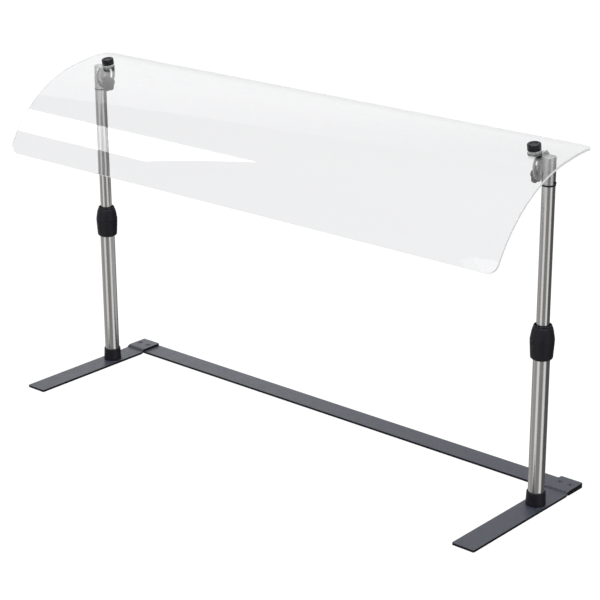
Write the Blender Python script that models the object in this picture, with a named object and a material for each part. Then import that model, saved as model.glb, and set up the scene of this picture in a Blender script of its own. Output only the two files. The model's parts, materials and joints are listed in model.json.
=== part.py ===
"""Portable sneeze guard: a curved clear panel on two telescoping posts with a flat steel base.

Frame: metres, +Z up. X runs along the crossbar, -Y is the customer side and +Y the rear.
The origin is the centre of the base, on the table.
The head parts are modelled once, in the frame of the left post, and turned half round for the right.
"""

import math

import bmesh
import bpy
from mathutils import Vector

MM = 0.001
GAP = 0.3 * MM  # between pieces that touch

# Base
BASE_LENGTH = 1219 * MM
BAR_WIDTH = 50 * MM
BAR_THICKNESS = 5 * MM
LEG_LENGTH = 360 * MM
CORNER_RADIUS = 3 * MM
JOGGLE_RUN = 6 * MM
BASE_SCREW_SPACING = 24 * MM
BASE_SCREW_HEAD_RADIUS = 5.8 * MM
BASE_SCREW_RADIUS = 2.7 * MM
BASE_SCREW_HEAD_DEPTH = 3.1 * MM

# Posts
POST_X = BASE_LENGTH / 2 - BAR_WIDTH / 2
POST_Y = 54 * MM
LOWER_RADIUS = 16 * MM
UPPER_RADIUS = 12.5 * MM
TUBE_WALL = 1.5 * MM
SOCKET_TOP = 32 * MM
LOWER_TOP = 340 * MM
UPPER_BOTTOM = 282 * MM
FOOT_PLUG_TOP = 25 * MM
FOOT_SCREW_RADIUS = 4 * MM
FOOT_SCREW_HEAD_RADIUS = 7.6 * MM
GLIDE_BUSH_LENGTH = 20 * MM
GLIDE_SPIGOT = 18 * MM

# Twist lock
LOCK_BOTTOM = 302.5 * MM
LOCK_SEAM = 337 * MM
LOCK_NECK_TOP = 348 * MM
LOCK_TOP = 370 * MM
LOCK_LIP = 5.4 * MM
COLLET_TOP_RADIUS = 14.5 * MM
COLLET_BOTTOM_RADIUS = 16.2 * MM

# Head, measured up the post
RING_BOTTOM = 635.8 * MM
RING_TOP = 638.2 * MM
SLEEVE_TOP = 687 * MM
HEAD_SCREW_Z = 642.5 * MM
HEAD_SCREW_HOLE = 2.3 * MM
PIVOT_Z = 668.5 * MM
TILT_AT_REST = math.radians(9)

# Tilt bracket, measured inboard from the post's axis
SADDLE_FACE = 14.7 * MM
PLATE_INNER = 15 * MM
PLATE_THICKNESS = 2.5 * MM
PLATE_OUTER = PLATE_INNER + PLATE_THICKNESS
PLATE_RADIUS = 27.4 * MM
PIN_RADIUS = 3.7 * MM
PIN_HEAD_RADIUS = 7 * MM
STUD_RADIUS = 3 * MM
CLAMP_DROP = 18 * MM  # from the pivot down to the clamp stud
SLOT_HALF_WIDTH = STUD_RADIUS + 0.7 * MM
SLOT_HALF_SWEEP = math.radians(125)
PANEL_STUD_INBOARD = 30.4 * MM

# Tilt bracket, measured up from the pivot along the stud
FLANGE_THICKNESS = 3 * MM
FLANGE_HALF_WIDTH = 13 * MM
PAD_THICKNESS = 1 * MM
WASHER_THICKNESS = 1 * MM
PANEL_UNDERSIDE = 23 * MM
PANEL_THICKNESS = 4.8 * MM
PANEL_TOP = PANEL_UNDERSIDE + PANEL_THICKNESS
PAD_TOP = PANEL_UNDERSIDE - GAP
PAD_BOTTOM = PAD_TOP - PAD_THICKNESS
FLANGE_TOP = PAD_BOTTOM - GAP
FLANGE_BOTTOM = FLANGE_TOP - FLANGE_THICKNESS
WASHER_BOTTOM = PANEL_TOP + GAP
WASHER_TOP = WASHER_BOTTOM + WASHER_THICKNESS
KNOB_BOTTOM = WASHER_TOP + GAP
KNOB_HEIGHT = 12.6 * MM
KNOB_RADIUS = 13 * MM

# Panel profile, through the middle of the sheet: it curls down both ways from a flat strip at the clamps
PANEL_LENGTH = 1264 * MM
PANEL_CLAMP_FLAT = 14 * MM  # each way from the studs
PANEL_REAR_RADIUS = 295 * MM
PANEL_REAR_BEND = math.radians(12)
PANEL_FRONT_RADIUS = 275 * MM
PANEL_FRONT_BEND = math.radians(52)
PANEL_FRONT_FLAT = 22 * MM
PANEL_CORNER_RADIUS = 20 * MM
PANEL_HOLE_RADIUS = STUD_RADIUS + 0.7 * MM

TUBE_SIDES = 28
KNOB_SIDES = 24
SMALL_SIDES = 12
HOLE_SIDES = 16
REAR_STEPS = 5
FRONT_STEPS = 16
LOBE_POINTS = 6
CORNER_STEPS = 5
LOBES = 5


# Helpers ---------------------------------------------------------------------------------------


def clear_scene():
    for obj in list(bpy.data.objects):
        bpy.data.objects.remove(obj, do_unlink=True)


def finish(name, colour, roughness, metallic=0.0, alpha=1.0):
    material = bpy.data.materials.new(name)
    material.use_nodes = True
    shader = material.node_tree.nodes["Principled BSDF"]
    shader.inputs["Base Color"].default_value = (*colour, 1.0)
    shader.inputs["Roughness"].default_value = roughness
    shader.inputs["Metallic"].default_value = metallic
    shader.inputs["Alpha"].default_value = alpha
    return material


def black_powder_coat(name):
    return finish(name, (0.020, 0.021, 0.025), 0.55, metallic=0.2)


def brushed_steel(name):
    return finish(name, (0.55, 0.54, 0.52), 0.32, metallic=1.0)


def black_plastic(name):
    return finish(name, (0.018, 0.018, 0.021), 0.45)


def gloss_black(name):
    return finish(name, (0.010, 0.010, 0.012), 0.18)


def natural_nylon(name):
    return finish(name, (0.62, 0.62, 0.60), 0.5)


def clear_acrylic(name):
    return finish(name, (0.93, 0.95, 0.95), 0.05, alpha=0.2)


def pale_rubber(name):
    return finish(name, (0.60, 0.61, 0.61), 0.7)


def add_empty(name, location, parent=None, turn=(0, 0, 0)):
    empty = bpy.data.objects.new(name, None)
    bpy.context.scene.collection.objects.link(empty)
    empty.parent = parent
    empty.location = location
    empty.rotation_euler = turn
    return empty


def add_piece(name, mesh, look, parent=None, location=(0, 0, 0), turn=(0, 0, 0)):
    piece = bpy.data.objects.new(name, mesh.copy())
    piece.data.name = name
    piece.data.materials.clear()
    piece.data.materials.append(look(name))
    bpy.context.scene.collection.objects.link(piece)
    piece.parent = parent
    piece.location = location
    piece.rotation_euler = turn
    return piece


def mesh_from(bm, smooth=False):
    bmesh.ops.remove_doubles(bm, verts=bm.verts, dist=1e-6)
    bmesh.ops.recalc_face_normals(bm, faces=bm.faces)
    mesh = bpy.data.meshes.new("shape")
    bm.to_mesh(mesh)
    bm.free()
    if smooth:
        mesh.shade_smooth()
        mesh.set_sharp_from_angle(angle=math.radians(35))
    return mesh


def turned(profile, sides=TUBE_SIDES):
    """A solid of revolution about Z. The (radius, height) profile is a loop, or runs axis to axis."""
    bm = bmesh.new()
    verts = [bm.verts.new((radius, 0, height)) for radius, height in profile]
    edges = [bm.edges.new(pair) for pair in zip(verts, verts[1:])]
    if profile[0][0] > 0:
        edges.append(bm.edges.new((verts[-1], verts[0])))
    bmesh.ops.spin(
        bm,
        geom=verts + edges,
        cent=(0, 0, 0),
        axis=(0, 0, 1),
        angle=math.tau,
        steps=sides,
        use_merge=True,
    )
    return mesh_from(bm, smooth=True)


def prism(outline, depth):
    """The outline in XY, pushed up along Z."""
    bm = bmesh.new()
    face = bm.faces.new([bm.verts.new((x, y, 0)) for x, y in outline])
    pushed = bmesh.ops.extrude_face_region(bm, geom=[face])
    moved = [item for item in pushed["geom"] if isinstance(item, bmesh.types.BMVert)]
    bmesh.ops.translate(bm, verts=moved, vec=(0, 0, depth))
    return mesh_from(bm)


def lofted(sections):
    """A solid through rings of equal point counts, each (outline, height)."""
    bm = bmesh.new()
    rings = []
    for outline, height in sections:
        rings.append([bm.verts.new((x, y, height)) for x, y in outline])
    bm.faces.new(rings[0])
    bm.faces.new(rings[-1])
    for low, high in zip(rings, rings[1:]):
        for i in range(len(low)):
            j = (i + 1) % len(low)
            bm.faces.new((low[i], low[j], high[j], high[i]))
    return mesh_from(bm, smooth=True)


def arc(centre, radius, start, end, steps):
    points = []
    for i in range(steps + 1):
        angle = start + (end - start) * i / steps
        points.append((centre[0] + radius * math.cos(angle), centre[1] + radius * math.sin(angle)))
    return points


def circle(radius, sides, centre=(0, 0)):
    return arc(centre, radius, 0, math.tau * (sides - 1) / sides, sides - 1)


def rounded_rectangle(width, length, radius, steps=3):
    """Centred on the origin, all four corners rounded."""
    points = []
    quarters = ((1, 1, 0), (-1, 1, 1), (-1, -1, 2), (1, -1, 3))
    for side_x, side_y, quarter in quarters:
        centre = (side_x * (width / 2 - radius), side_y * (length / 2 - radius))
        start = quarter * math.pi / 2
        points += arc(centre, radius, start, start + math.pi / 2, steps)
    return points


def cut(target, mesh, location=(0, 0, 0), turn=(0, 0, 0)):
    """Subtracts the mesh, placed in the target's own frame."""
    cutter = bpy.data.objects.new(target.name + "_cutter", mesh)
    bpy.context.scene.collection.objects.link(cutter)
    cutter.parent = target
    cutter.location = location
    cutter.rotation_euler = turn
    cutter.hide_render = True
    cutter.display_type = "WIRE"
    boolean = target.modifiers.new("cut", "BOOLEAN")
    boolean.operation = "DIFFERENCE"
    boolean.solver = "EXACT"
    boolean.object = cutter


def round_cutter(radius, length, sides=HOLE_SIDES):
    return turned([(0, 0), (radius, 0), (radius, length), (0, length)], sides)


# Along the post's local X, inboard
INBOARD = (0, math.radians(90), 0)
OUTBOARD = (0, math.radians(-90), 0)


# Base ------------------------------------------------------------------------------------------


def cross_recess(depth):
    """A plus-shaped cutter for a screw's drive."""
    arm = 3.2 * MM
    half = 0.7 * MM
    corners = [(arm, -half), (arm, half), (half, half), (half, arm), (-half, arm), (-half, half)]
    outline = corners + [(-x, -y) for x, y in corners]
    return prism(outline, depth)


def base_screw_mesh():
    shank_end = -2 * BAR_THICKNESS + 0.6 * MM
    profile = [
        (0, -GAP),
        (BASE_SCREW_HEAD_RADIUS, -GAP),
        (BASE_SCREW_HEAD_RADIUS, -GAP - 0.5 * MM),
        (BASE_SCREW_RADIUS, -BASE_SCREW_HEAD_DEPTH),
        (BASE_SCREW_RADIUS, shank_end + 0.5 * MM),
        (BASE_SCREW_RADIUS - 0.5 * MM, shank_end),
        (0, shank_end),
    ]
    return turned(profile, SMALL_SIDES)


def base_screw_hole():
    """The screw's own shape, grown by the gap, as a cutter from above the pad."""
    head = BASE_SCREW_HEAD_RADIUS + GAP
    shank = BASE_SCREW_RADIUS + GAP
    profile = [
        (0, 1 * MM),
        (head, 1 * MM),
        (head, -GAP - 0.5 * MM),
        (shank, -BASE_SCREW_HEAD_DEPTH),
        (shank, -3 * BAR_THICKNESS),
        (0, -3 * BAR_THICKNESS),
    ]
    return turned(profile, SMALL_SIDES)


def screw_places(post_x):
    y = LEG_LENGTH / 2 - BAR_WIDTH / 2
    return [(post_x + side * BASE_SCREW_SPACING / 2, y) for side in (-1, 1)]


def leg_mesh():
    """The joggled bar, from its side outline in Y and Z, with its corners rounded in plan."""
    front = -LEG_LENGTH / 2
    rear = LEG_LENGTH / 2
    step = BAR_THICKNESS + GAP
    ramp_end = rear - BAR_WIDTH - GAP
    ramp_start = ramp_end - JOGGLE_RUN
    lower = [(front, 0), (ramp_start, 0), (ramp_end, step), (rear, step)]
    upper = [(y, z + BAR_THICKNESS) for y, z in reversed(lower)]
    bm = bmesh.new()
    half = BAR_WIDTH / 2
    face = bm.faces.new([bm.verts.new((-half, y, z)) for y, z in lower + upper])
    pushed = bmesh.ops.extrude_face_region(bm, geom=[face])
    moved = [item for item in pushed["geom"] if isinstance(item, bmesh.types.BMVert)]
    bmesh.ops.translate(bm, verts=moved, vec=(BAR_WIDTH, 0, 0))
    uprights = []
    for edge in bm.edges:
        a, b = (vert.co for vert in edge.verts)
        at_an_end = min(abs(a.y - front), abs(a.y - rear)) < GAP
        if at_an_end and abs(a.y - b.y) < 1e-6 and abs(a.x - b.x) < 1e-6:
            uprights.append(edge)
    bmesh.ops.bevel(bm, geom=uprights, offset=CORNER_RADIUS, segments=3, affect="EDGES")
    return mesh_from(bm)


def add_leg(name, post_x):
    leg = add_piece(name, leg_mesh(), black_powder_coat, location=(post_x, 0, 0))
    top = 2 * BAR_THICKNESS + GAP
    for x, y in screw_places(post_x):
        cut(leg, base_screw_hole(), (x - post_x, y, top))
    head = FOOT_SCREW_HEAD_RADIUS + GAP
    shank = FOOT_SCREW_RADIUS + GAP
    profile = [
        (0, -1 * MM),
        (0, 2 * BAR_THICKNESS),
        (shank, 2 * BAR_THICKNESS),
        (shank, BAR_THICKNESS - 0.6 * MM),
        (head, GAP + 0.5 * MM),
        (head, -1 * MM),
    ]
    cut(leg, turned(profile, HOLE_SIDES), (0, POST_Y, 0))


def add_crossbar():
    outline = rounded_rectangle(BASE_LENGTH, BAR_WIDTH, CORNER_RADIUS)
    y = LEG_LENGTH / 2 - BAR_WIDTH / 2
    bar = prism(outline, BAR_THICKNESS)
    crossbar = add_piece("crossbar", bar, black_powder_coat, location=(0, y, 0))
    for post_x in (-POST_X, POST_X):
        for x, _ in screw_places(post_x):
            through = round_cutter(BASE_SCREW_RADIUS + GAP, 3 * BAR_THICKNESS, SMALL_SIDES)
            cut(crossbar, through, (x, 0, -BAR_THICKNESS))


def add_base_screws(side_name, post_x):
    top = 2 * BAR_THICKNESS + GAP
    for number, (x, y) in enumerate(screw_places(post_x), start=1):
        name = f"{side_name}_base_screw_{number}"
        screw = add_piece(name, base_screw_mesh(), black_powder_coat, location=(x, y, top))
        cut(screw, cross_recess(3 * MM), (0, 0, -1.9 * MM), (0, 0, math.radians(30)))


# Posts -----------------------------------------------------------------------------------------


def tube_mesh(radius, bottom, top):
    inner = radius - TUBE_WALL
    return turned([(radius, top), (radius, bottom), (inner, bottom), (inner, top)])


def base_socket_mesh():
    bore = LOWER_RADIUS + GAP
    bottom = BAR_THICKNESS + GAP
    profile = [
        (bore, SOCKET_TOP - 0.6 * MM),
        (bore + 0.6 * MM, SOCKET_TOP),
        (18.2 * MM, SOCKET_TOP),
        (18.9 * MM, SOCKET_TOP - 0.8 * MM),
        (19.6 * MM, bottom + 0.8 * MM),
        (19.2 * MM, bottom),
        (bore, bottom),
    ]
    return turned(profile)


def foot_plug_mesh():
    outer = LOWER_RADIUS - TUBE_WALL - GAP
    bottom = BAR_THICKNESS + GAP
    bore = FOOT_SCREW_RADIUS + GAP
    chamfer = 1 * MM
    profile = [
        (bore, FOOT_PLUG_TOP),
        (outer - chamfer, FOOT_PLUG_TOP),
        (outer, FOOT_PLUG_TOP - chamfer),
        (outer, bottom),
        (bore, bottom),
    ]
    return turned(profile, SMALL_SIDES + 8)


def foot_screw_mesh():
    profile = [
        (0, GAP),
        (FOOT_SCREW_HEAD_RADIUS, GAP),
        (FOOT_SCREW_HEAD_RADIUS, GAP + 0.5 * MM),
        (FOOT_SCREW_RADIUS, BAR_THICKNESS - 0.6 * MM),
        (FOOT_SCREW_RADIUS, FOOT_PLUG_TOP - 4 * MM),
        (0, FOOT_PLUG_TOP - 3 * MM),
    ]
    return turned(profile, SMALL_SIDES)


def lock_body_mesh():
    """Lower half of the twist lock: rounded at the bottom, with a neck that the ring turns on."""
    bore = LOWER_RADIUS + GAP
    neck = 18.9 * MM
    lip = 14.8 * MM
    profile = [
        (bore, LOCK_BOTTOM),
        (18.4 * MM, LOCK_BOTTOM),
        (20.6 * MM, LOCK_BOTTOM + 1.4 * MM),
        (21.8 * MM, LOCK_BOTTOM + 4.2 * MM),
        (23.3 * MM, LOCK_SEAM - 1 * MM),
        (22.9 * MM, LOCK_SEAM),
        (neck, LOCK_SEAM),
        (neck, LOCK_NECK_TOP),
        (lip, LOCK_NECK_TOP),
        (lip, LOWER_TOP + GAP),
        (bore, LOWER_TOP + GAP),
    ]
    return turned(profile)


def twist_ring_mesh():
    """Upper half of the twist lock: a tapered barrel with a rounded lip, coned inside over the collet."""
    thread = 19.2 * MM
    mouth = UPPER_RADIUS + 0.4 * MM
    shoulder = LOCK_TOP - LOCK_LIP
    floor = shoulder - 2.5 * MM
    profile = [
        (thread, LOCK_SEAM + GAP),
        (22.9 * MM, LOCK_SEAM + GAP),
        (23.4 * MM, LOCK_SEAM + 1.5 * MM),
        (23.4 * MM, LOCK_SEAM + 6 * MM),
        (22.4 * MM, LOCK_SEAM + 14 * MM),
        (20.9 * MM, LOCK_SEAM + 21 * MM),
        (19.1 * MM, shoulder),
        (17.8 * MM, shoulder + 0.8 * MM),
        (17.6 * MM, LOCK_TOP - 1.6 * MM),
        (16.8 * MM, LOCK_TOP - 0.3 * MM),
        (16.1 * MM, LOCK_TOP),
        (15.4 * MM, LOCK_TOP - 0.5 * MM),
        (15.2 * MM, shoulder),
        (mouth, shoulder),
        (mouth, floor),
        (COLLET_TOP_RADIUS + 0.4 * MM, floor),
        (COLLET_BOTTOM_RADIUS + 0.4 * MM, LOCK_NECK_TOP + GAP),
        (thread, LOCK_NECK_TOP + GAP),
    ]
    return turned(profile)


def lock_collet_mesh():
    bore = UPPER_RADIUS + GAP
    top = LOCK_TOP - LOCK_LIP - 3 * MM
    bottom = LOCK_NECK_TOP + 0.4 * MM
    return turned([(bore, top), (COLLET_TOP_RADIUS, top), (COLLET_BOTTOM_RADIUS, bottom), (bore, bottom)])


def add_lock_collet(name, post):
    collet = add_piece(name, lock_collet_mesh(), natural_nylon, post)
    half = 0.6 * MM
    reach = 20 * MM
    slit = prism([(0, -half), (reach, -half), (reach, half), (0, half)], LOCK_TOP - LOCK_NECK_TOP)
    cut(collet, slit, (0, 0, LOCK_NECK_TOP))


def glide_bush_mesh():
    outer = LOWER_RADIUS - TUBE_WALL - GAP
    spigot = UPPER_RADIUS - TUBE_WALL - GAP
    bore = spigot - 2 * MM
    shoulder = UPPER_BOTTOM - GAP
    top = UPPER_BOTTOM + GLIDE_SPIGOT
    bottom = shoulder - GLIDE_BUSH_LENGTH
    profile = [
        (bore, top),
        (spigot, top),
        (spigot, shoulder),
        (outer, shoulder),
        (outer, bottom),
        (bore, bottom),
    ]
    return turned(profile)


# Head ------------------------------------------------------------------------------------------


def head_plug_mesh():
    spigot = UPPER_RADIUS - TUBE_WALL - GAP
    flange = 13.3 * MM
    bottom = RING_BOTTOM - 23 * MM
    top = SLEEVE_TOP - 4.5 * MM
    profile = [
        (0, top),
        (spigot, top),
        (spigot, RING_TOP),
        (flange, RING_TOP),
        (flange, RING_BOTTOM),
        (spigot, RING_BOTTOM),
        (spigot, bottom),
        (0, bottom),
    ]
    return turned(profile)


def head_sleeve_mesh():
    bore = UPPER_RADIUS - TUBE_WALL
    bottom = RING_TOP + GAP
    chamfer = 1 * MM
    roof = SLEEVE_TOP - 4.2 * MM
    profile = [
        (0, SLEEVE_TOP),
        (UPPER_RADIUS - chamfer, SLEEVE_TOP),
        (UPPER_RADIUS, SLEEVE_TOP - chamfer),
        (UPPER_RADIUS, bottom),
        (bore, bottom),
        (bore, roof),
        (0, roof),
    ]
    return turned(profile)


def drill_head(piece):
    """The pivot and clamp holes, level and inboard, and the lock screw's hole on the outer side."""
    reach = 20 * MM
    start = -2 * MM
    cut(piece, round_cutter(PIN_RADIUS + GAP, reach, SMALL_SIDES), (start, 0, PIVOT_Z), INBOARD)
    clamp = (start, 0, PIVOT_Z - CLAMP_DROP)
    cut(piece, round_cutter(STUD_RADIUS + GAP, reach, SMALL_SIDES), clamp, INBOARD)
    cut(piece, round_cutter(HEAD_SCREW_HOLE, reach, SMALL_SIDES), (-5 * MM, 0, HEAD_SCREW_Z), OUTBOARD)


def head_screw_mesh():
    """Along +Z from its tip; the dome is the head."""
    tip = 5.3 * MM
    seat = UPPER_RADIUS + GAP
    profile = [
        (0, tip),
        (2 * MM, tip),
        (2 * MM, seat),
        (2.9 * MM, seat),
        (2.9 * MM, seat + 1.4 * MM),
        (2.1 * MM, seat + 2.2 * MM),
        (0, seat + 2.2 * MM),
    ]
    return turned(profile, SMALL_SIDES)


def add_saddle(name, post):
    """A block with a flat inboard face and a hollow back that fits the sleeve."""
    half_width = 8 * MM
    low = PIVOT_Z - CLAMP_DROP - 7 * MM
    high = PIVOT_Z + 8 * MM
    back = arc((0, 0), UPPER_RADIUS + GAP, -math.asin(0.62), math.asin(0.62), 8)
    outline = back + [(SADDLE_FACE, half_width), (SADDLE_FACE, -half_width)]
    saddle = add_piece(name, prism(outline, high - low), brushed_steel, post, (0, 0, low))
    cut(saddle, round_cutter(PIN_RADIUS + GAP, 20 * MM, SMALL_SIDES), (0, 0, PIVOT_Z - low), INBOARD)
    clamp = (0, 0, PIVOT_Z - CLAMP_DROP - low)
    cut(saddle, round_cutter(STUD_RADIUS + GAP, 20 * MM, SMALL_SIDES), clamp, INBOARD)


def pivot_pin_mesh():
    seat = PLATE_OUTER + GAP
    profile = [
        (0, -1 * MM),
        (PIN_RADIUS, -1 * MM),
        (PIN_RADIUS, seat),
        (PIN_HEAD_RADIUS, seat),
        (PIN_HEAD_RADIUS, seat + 1.2 * MM),
        (PIN_HEAD_RADIUS - 1.2 * MM, seat + 2.2 * MM),
        (0, seat + 2.6 * MM),
    ]
    return turned(profile, HOLE_SIDES)


def slot_outline():
    """The C slot about the pivot, open towards the flange."""
    middle = -math.pi / 2
    start = middle - SLOT_HALF_SWEEP
    end = middle + SLOT_HALF_SWEEP
    outer = arc((0, 0), CLAMP_DROP + SLOT_HALF_WIDTH, start, end, 20)
    inner = arc((0, 0), CLAMP_DROP - SLOT_HALF_WIDTH, end, start, 16)
    far = (CLAMP_DROP * math.cos(end), CLAMP_DROP * math.sin(end))
    near = (CLAMP_DROP * math.cos(start), CLAMP_DROP * math.sin(start))
    far_end = arc(far, SLOT_HALF_WIDTH, end, end + math.pi, 6)[1:-1]
    near_end = arc(near, SLOT_HALF_WIDTH, start + math.pi, start + math.tau, 6)[1:-1]
    return outer + far_end + inner + near_end


def plate_outline():
    """A disc cut level with the top of the flange, in the plate's own Y and Z."""
    start = math.asin(FLANGE_TOP / PLATE_RADIUS)
    return arc((0, 0), PLATE_RADIUS, math.pi - start, math.tau + start, 28)


def flange_outline():
    """In the plate's own X and Y: straight out of the plate, round about the stud."""
    end = arc((PANEL_STUD_INBOARD, 0), FLANGE_HALF_WIDTH, -math.pi / 2, math.pi / 2, 12)
    return [(PLATE_INNER, -FLANGE_HALF_WIDTH), *end, (PLATE_INNER, FLANGE_HALF_WIDTH)]


def stand_up(mesh, inboard):
    """Turns a prism drawn in X and Y to lie in the post's Y and Z, with its depth inboard."""
    for vert in mesh.vertices:
        vert.co = Vector((vert.co.z + inboard, vert.co.x, vert.co.y))
    return mesh


def add_tilt_plate(name, pivot):
    disc = stand_up(prism(plate_outline(), PLATE_THICKNESS), PLATE_INNER)
    plate = add_piece(name, disc, brushed_steel, pivot)
    flange_mesh = prism(flange_outline(), FLANGE_THICKNESS)
    flange = bpy.data.objects.new(name + "_flange", flange_mesh)
    bpy.context.scene.collection.objects.link(flange)
    flange.parent = plate
    flange.location = (0, 0, FLANGE_BOTTOM)
    flange.hide_render = True
    flange.display_type = "WIRE"
    union = plate.modifiers.new("flange", "BOOLEAN")
    union.operation = "UNION"
    union.solver = "EXACT"
    union.object = flange
    cut(plate, stand_up(prism(slot_outline(), PLATE_THICKNESS + 2 * MM), PLATE_INNER - 1 * MM))
    cut(plate, round_cutter(PIN_RADIUS + GAP, 8 * MM), (PLATE_INNER - 2 * MM, 0, 0), INBOARD)
    stud = (PANEL_STUD_INBOARD, 0, FLANGE_BOTTOM - 1 * MM)
    cut(plate, round_cutter(STUD_RADIUS + GAP, FLANGE_THICKNESS + 2 * MM, SMALL_SIDES), stud)


def ring_mesh(bore, radius, bottom, top, sides=HOLE_SIDES):
    return turned([(bore, top), (radius, top), (radius, bottom), (bore, bottom)], sides)


def clamp_washer_mesh():
    seat = PLATE_OUTER + GAP
    return ring_mesh(STUD_RADIUS + GAP, 7.5 * MM, seat, seat + 1.1 * MM)


def lobed(scale, base=14.4 * MM, lobe=1.8 * MM):
    points = []
    for i in range(LOBES * LOBE_POINTS):
        angle = math.tau * i / (LOBES * LOBE_POINTS)
        radius = scale * (base - lobe * math.cos(LOBES * angle))
        points.append((radius * math.cos(angle), radius * math.sin(angle)))
    return points


def clamp_knob_mesh():
    """Stud, hub and five-lobed grip along +Z."""
    sides = LOBES * LOBE_POINTS
    stud = circle(STUD_RADIUS, sides)
    hub = circle(7 * MM, sides)
    hub_start = PLATE_OUTER + 1.7 * MM
    grip_start = 22.5 * MM
    grip_end = 31 * MM
    sections = [
        (stud, 0),
        (stud, hub_start),
        (hub, hub_start),
        (hub, grip_start),
        (lobed(0.9), grip_start),
        (lobed(1.0), grip_start + 1.4 * MM),
        (lobed(1.0), grip_end - 2 * MM),
        (lobed(0.88), grip_end - 0.3 * MM),
        (lobed(0.6), grip_end),
    ]
    return lofted(sections)


def panel_knob_mesh():
    """Stud and round head along +Z from the pivot's height, with a dished top."""
    top = KNOB_BOTTOM + KNOB_HEIGHT
    stud_end = FLANGE_BOTTOM - 2.5 * MM
    profile = [
        (0, stud_end),
        (STUD_RADIUS - 0.5 * MM, stud_end),
        (STUD_RADIUS, stud_end + 0.5 * MM),
        (STUD_RADIUS, KNOB_BOTTOM),
        (KNOB_RADIUS - 1.2 * MM, KNOB_BOTTOM),
        (KNOB_RADIUS, KNOB_BOTTOM + 1.2 * MM),
        (KNOB_RADIUS, top - 2.2 * MM),
        (KNOB_RADIUS - 0.8 * MM, top - 0.7 * MM),
        (KNOB_RADIUS - 2.6 * MM, top),
        (KNOB_RADIUS - 5.5 * MM, top - 0.4 * MM),
        (KNOB_RADIUS - 6.5 * MM, top - 1.6 * MM),
        (0, top - 1.8 * MM),
    ]
    return turned(profile, KNOB_SIDES)


# Panel -----------------------------------------------------------------------------------------


def panel_path(distance):
    """(place, direction) in the tilting frame's Y and Z, for a distance forward from the studs."""
    middle = PANEL_UNDERSIDE + PANEL_THICKNESS / 2
    rearwards = distance < 0
    facing = 1 if rearwards else -1
    radius = PANEL_REAR_RADIUS if rearwards else PANEL_FRONT_RADIUS
    bend = PANEL_REAR_BEND if rearwards else PANEL_FRONT_BEND
    along = abs(distance)
    if along <= PANEL_CLAMP_FLAT:
        return Vector((facing * along, middle)), Vector((-1, 0))
    angle = min((along - PANEL_CLAMP_FLAT) / radius, bend)
    beyond = along - PANEL_CLAMP_FLAT - angle * radius
    y = PANEL_CLAMP_FLAT + radius * math.sin(angle) + beyond * math.cos(angle)
    z = middle - radius * (1 - math.cos(angle)) - beyond * math.sin(angle)
    return Vector((facing * y, z)), Vector((-math.cos(angle), facing * math.sin(angle)))


def panel_stations():
    """(distance, half width) pairs from the rear edge to the front edge."""
    rear_bend = PANEL_REAR_RADIUS * PANEL_REAR_BEND
    front_bend = PANEL_FRONT_RADIUS * PANEL_FRONT_BEND
    rear_edge = -PANEL_CLAMP_FLAT - rear_bend
    front_edge = PANEL_CLAMP_FLAT + front_bend + PANEL_FRONT_FLAT
    half = PANEL_LENGTH / 2
    corner = arc((0, 0), PANEL_CORNER_RADIUS, 0, math.pi / 2, CORNER_STEPS)
    inset = [(PANEL_CORNER_RADIUS - x, PANEL_CORNER_RADIUS - y) for x, y in corner]
    rear = [(rear_edge + along, half - aside) for aside, along in reversed(inset)]
    front = [(front_edge - along, half - aside) for aside, along in inset]
    curl = []
    for i in range(REAR_STEPS + 1):
        distance = -PANEL_CLAMP_FLAT - rear_bend * (1 - i / REAR_STEPS)
        if distance > rear[-1][0] + GAP:
            curl.append((distance, half))
    bend = []
    for i in range(FRONT_STEPS + 1):
        bend.append((PANEL_CLAMP_FLAT + front_bend * i / FRONT_STEPS, half))
    return rear + curl + bend + front


def panel_mesh():
    bm = bmesh.new()
    rings = []
    for distance, half in panel_stations():
        place, direction = panel_path(distance)
        normal = Vector((direction.y, -direction.x))
        top = place + normal * PANEL_THICKNESS / 2
        bottom = place - normal * PANEL_THICKNESS / 2
        corners = [(-half, *bottom), (half, *bottom), (half, *top), (-half, *top)]
        rings.append([bm.verts.new(corner) for corner in corners])
    bm.faces.new(rings[0])
    bm.faces.new(rings[-1])
    for rear, front in zip(rings, rings[1:]):
        for i in range(4):
            j = (i + 1) % 4
            bm.faces.new((rear[i], rear[j], front[j], front[i]))
    return mesh_from(bm, smooth=True)


def add_panel(tilt_axis):
    panel = add_piece("guard_panel", panel_mesh(), clear_acrylic, tilt_axis)
    for x in (PANEL_STUD_INBOARD - POST_X, POST_X - PANEL_STUD_INBOARD):
        through = round_cutter(PANEL_HOLE_RADIUS, PANEL_THICKNESS + 4 * MM, SMALL_SIDES)
        cut(panel, through, (x, 0, PANEL_UNDERSIDE - 2 * MM))


# Assembly --------------------------------------------------------------------------------------


def add_lower_post(side_name, post):
    bottom = BAR_THICKNESS + GAP
    add_piece(f"{side_name}_base_socket", base_socket_mesh(), black_plastic, post)
    add_piece(f"{side_name}_foot_plug", foot_plug_mesh(), brushed_steel, post)
    add_piece(f"{side_name}_foot_screw", foot_screw_mesh(), brushed_steel, post)
    add_piece(f"{side_name}_lower_tube", tube_mesh(LOWER_RADIUS, bottom, LOWER_TOP), brushed_steel, post)
    add_piece(f"{side_name}_lock_body", lock_body_mesh(), black_plastic, post)
    add_piece(f"{side_name}_twist_ring", twist_ring_mesh(), black_plastic, post)
    add_lock_collet(f"{side_name}_lock_collet", post)


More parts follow.
